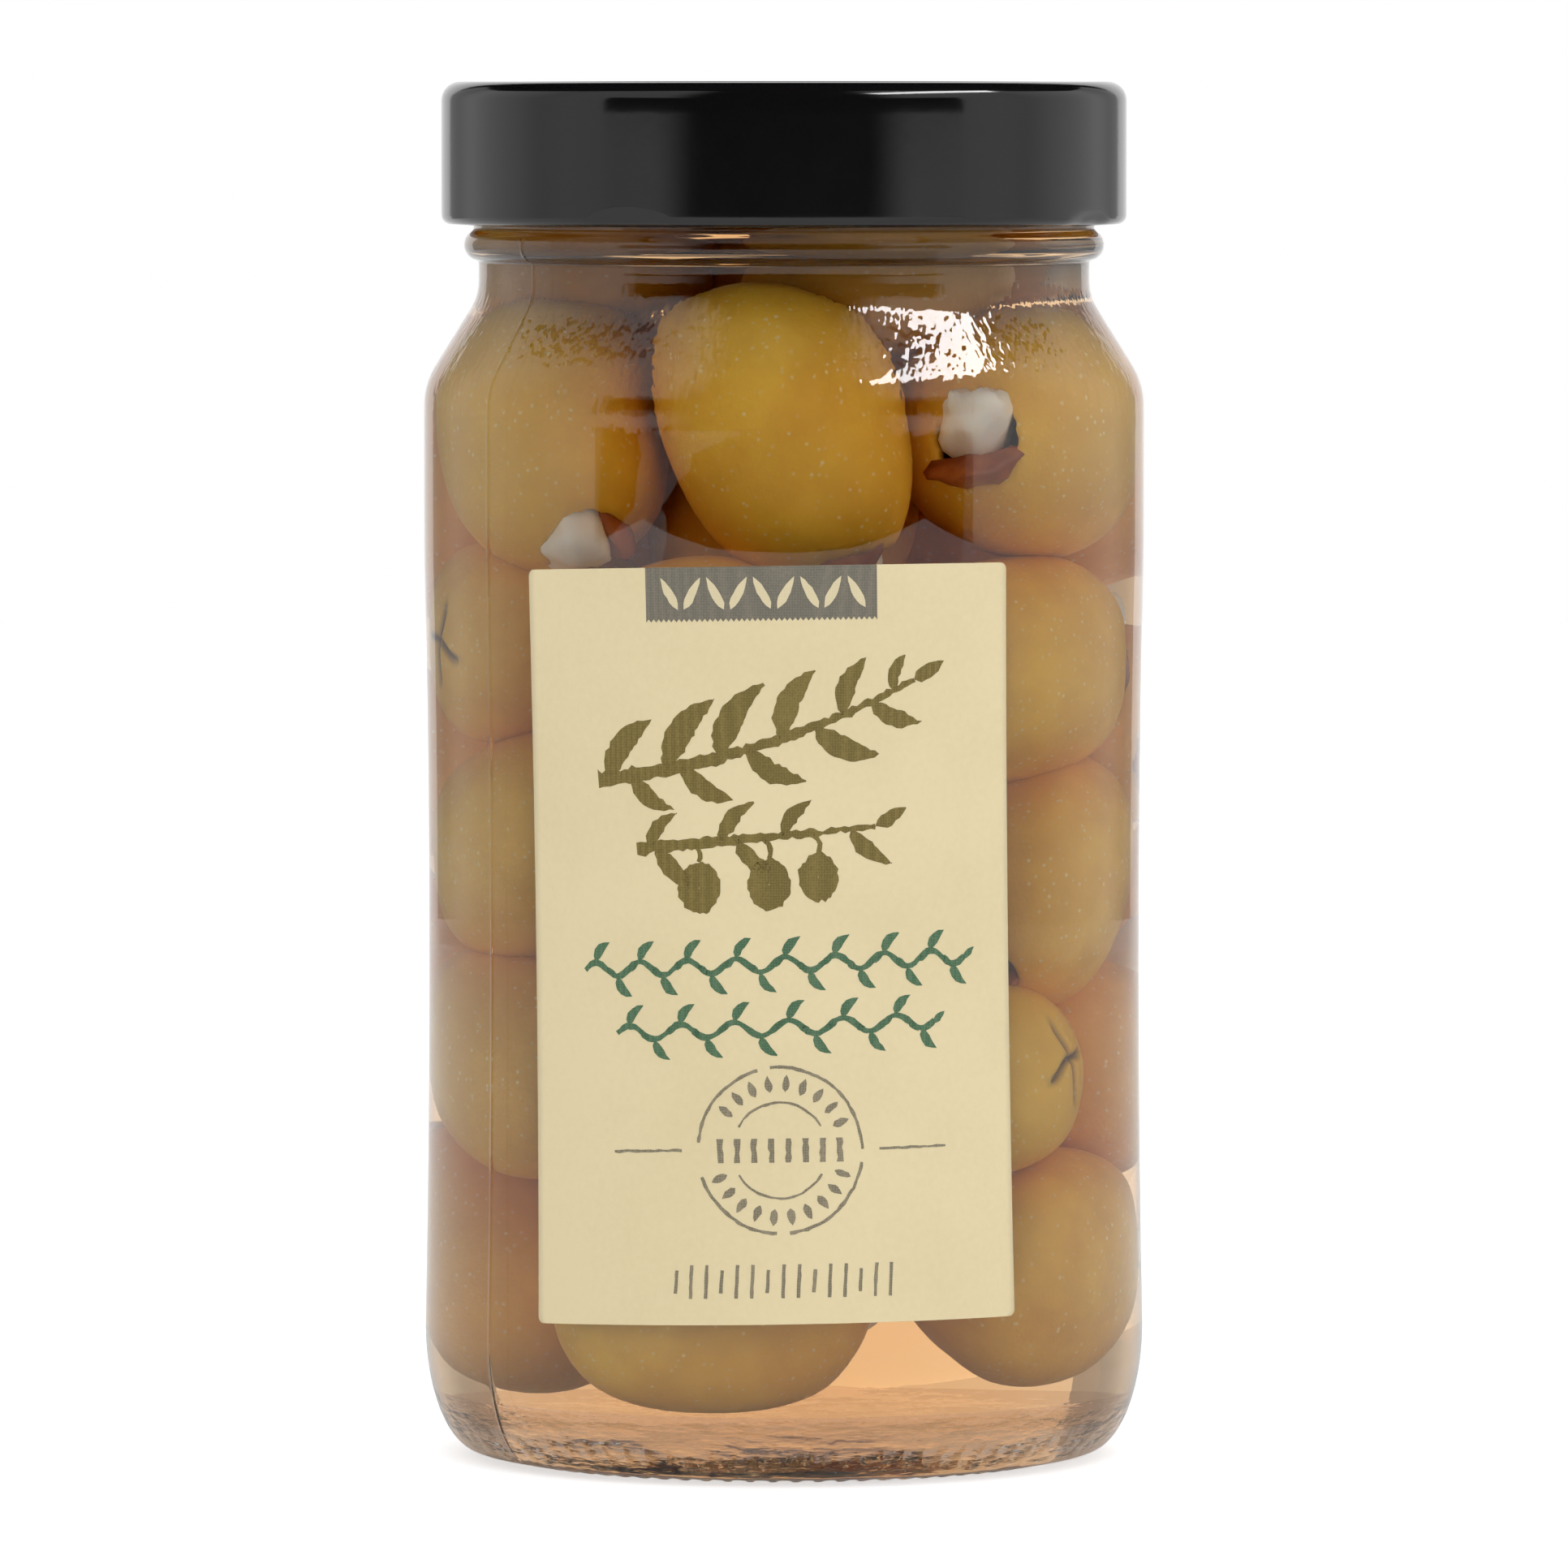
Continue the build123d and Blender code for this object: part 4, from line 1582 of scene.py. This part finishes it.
# %% Surroundings
ambient = 0.60
glow_above = 1.3
glow_behind = 0.85
world = bpy.data.worlds.new("studio")
bpy.context.scene.world = world
world.use_nodes = True
air = Nodes(world.node_tree)
ray = air.add("LightPath").outputs
toward = air.add("TexCoord").outputs["Generated"]
back = air.add("SeparateXYZ", Vector=toward).outputs["Y"]
behind = air.math("GREATER_THAN", back, 0.86)
beyond = air.math("GREATER_THAN", back, 0.0)
first_look = air.math("LESS_THAN", ray["Diffuse Depth"], 0.5)
after_look = air.math("SUBTRACT", 1.0, first_look)
through_glass = air.math("MULTIPLY", ray["Is Transmission Ray"], first_look)
through_glass = air.math("MULTIPLY", through_glass, beyond)
white = air.math("MAXIMUM", ray["Is Camera Ray"], through_glass)
above = air.add("VectorMath", operation="DOT_PRODUCT")
air.put(above.inputs[0], toward)
air.put(above.inputs[1], pointing(38, 46).tolist())
lobe = air.math("POWER", air.math("MAXIMUM", above.outputs["Value"], 0.0), 2.0)
glow = air.math("ADD", air.math("MULTIPLY", lobe, glow_above), ambient)
rear = air.math("MULTIPLY", beyond, glow_behind)
room = air.math("MULTIPLY", air.math("MAXIMUM", glow, rear), after_look)
surround = air.math("MAXIMUM", room, behind)
strength = air.math("MAXIMUM", surround, white)
background = air.add("Background", Color=(1, 1, 1, 1), Strength=strength)
air.add("OutputWorld", Surface=background)
print("the room glows from", ambient, "to", ambient + glow_above)

# %% [markdown]
# ## Softboxes
# Glass and lacquer are lit by what they mirror. Tall cloth softboxes curve round both
# sides of the jar, which lays the broad pale veils along its edges. Towards the front only
# a low strip and a high panel go on, so that the lid and the neck mirror more cloth than
# the body does. Cloth is brighter in its middle than at its hems, so each panel carries
# its own glow, and a plain rectangular lamp can't do that. They are hidden from the camera.

# %% Softboxes
softbox_distance = 800.0
table_edge = 4
low_strip = (97, 152)
high_panel = 420


def cloth_glow(azimuth):
    """Brightness of the cloth at an azimuth in degrees from the front."""
    hem = fade(azimuth, 27, 44)
    fold = 1 - 0.16 * np.exp(-(((azimuth - 88) / 8) ** 2))
    back = 1 - 0.5 * fade(azimuth, 124, 142)
    return 0.86 * hem * fold * back


def make_cloth_finish():
    finish, nodes = new_finish("softbox_cloth")
    nodes.add("OutputMaterial", Surface=nodes.add("Emission", Strength=nodes.read("glow")))
    return finish


cloth = make_cloth_finish()


def softbox(name, side, start, end, low, gain, top=None):
    """A curved panel on one side (-1 or 1), from one azimuth and height to another."""
    azimuths = np.linspace(start, end, int((end - start) * 1.5) + 1)
    rise = np.radians(np.clip(49.5 - 0.41 * (azimuths - 79), 30, 60))
    high = 118 + softbox_distance * np.tan(rise)
    if top is not None:
        high = np.full(len(azimuths), top)
    points = [pointing(side * a, 0) * softbox_distance + [0, 0, low] for a in azimuths]
    points += [pointing(side * a, 0) * softbox_distance + [0, 0, z] for a, z in zip(azimuths, high)]
    panel = stage_sheet(name, points, grid_faces(2, len(azimuths)), cloth)
    layer = panel.data.attributes.new("glow", "FLOAT", "POINT")
    layer.data.foreach_set("value", np.tile(cloth_glow(azimuths) * gain, 2))
    panel.visible_camera = False
    return panel


for side, gain in ((-1, 1.0), (1, 1.06)):
    softbox(f"softbox_side_{side}", side, 61, 150, table_edge, gain)
    softbox(f"softbox_low_{side}", side, 27, 61, low_strip[0], gain, top=low_strip[1])
    softbox(f"softbox_front_{side}", side, 27, 61, high_panel, gain)
print("softboxes stand", softbox_distance, "mm from the jar")

# %% [markdown]
# ## The glint
# One long narrow lamp, high on the right, puts the crisp white glints on the shoulder and
# on the lid's corner. Only mirrors see it. Its light on everything else is left out,
# because the room's own glow already gives the olives and the label their brightness.


# %% Lamp
def lamp(name, azimuth, elevation, distance, width, height, brightness):
    """A rectangular lamp that faces the jar. Brightness is 1 where it would look white."""
    light = bpy.data.lights.new(name, "AREA")
    light.shape = "RECTANGLE"
    light.size, light.size_y = width * MM, height * MM
    light.energy = 4 * brightness * light.size * light.size_y
    holder = bpy.data.objects.new(name, light)
    bpy.context.scene.collection.objects.link(holder)
    away = pointing(azimuth, elevation)
    holder.location = ((away * distance + [0, 0, 75]) * MM).tolist()
    holder.rotation_euler = Vector(away.tolist()).to_track_quat("Z", "Y").to_euler()
    holder.visible_camera = False
    return holder


glint = lamp("glint", 64, 50, 1000, 700, 120, 14.0)
glint.visible_diffuse = False
glint.visible_transmission = False
print("glint of", round(glint.data.energy, 2), "watts")

# %% [markdown]
# ## Camera
# A long lens from about a metre and a third gives the flat, undistorted view of a product
# picture. The eye is level with the top of the lid, so the top is seen edge on and the
# base from slightly above.

# %% Camera
view_distance, eye_height, view_middle = 1350.0, 148.2, 71.5
view_width = 166.85
camera_data = bpy.data.cameras.new("camera")
camera_data.sensor_width = 36.0
camera_data.lens = 36.0 * view_distance / view_width
camera_data.clip_start, camera_data.clip_end = 0.1, 20.0
camera = bpy.data.objects.new("camera", camera_data)
bpy.context.scene.collection.objects.link(camera)
camera.location = (0, -view_distance * MM, eye_height * MM)
tilt = math.atan2(eye_height - view_middle, view_distance)
camera.rotation_euler = (math.pi / 2 - tilt, 0, 0)
bpy.context.scene.camera = camera
bpy.context.scene.view_settings.view_transform = "Standard"
print("lens", round(camera_data.lens), "mm")
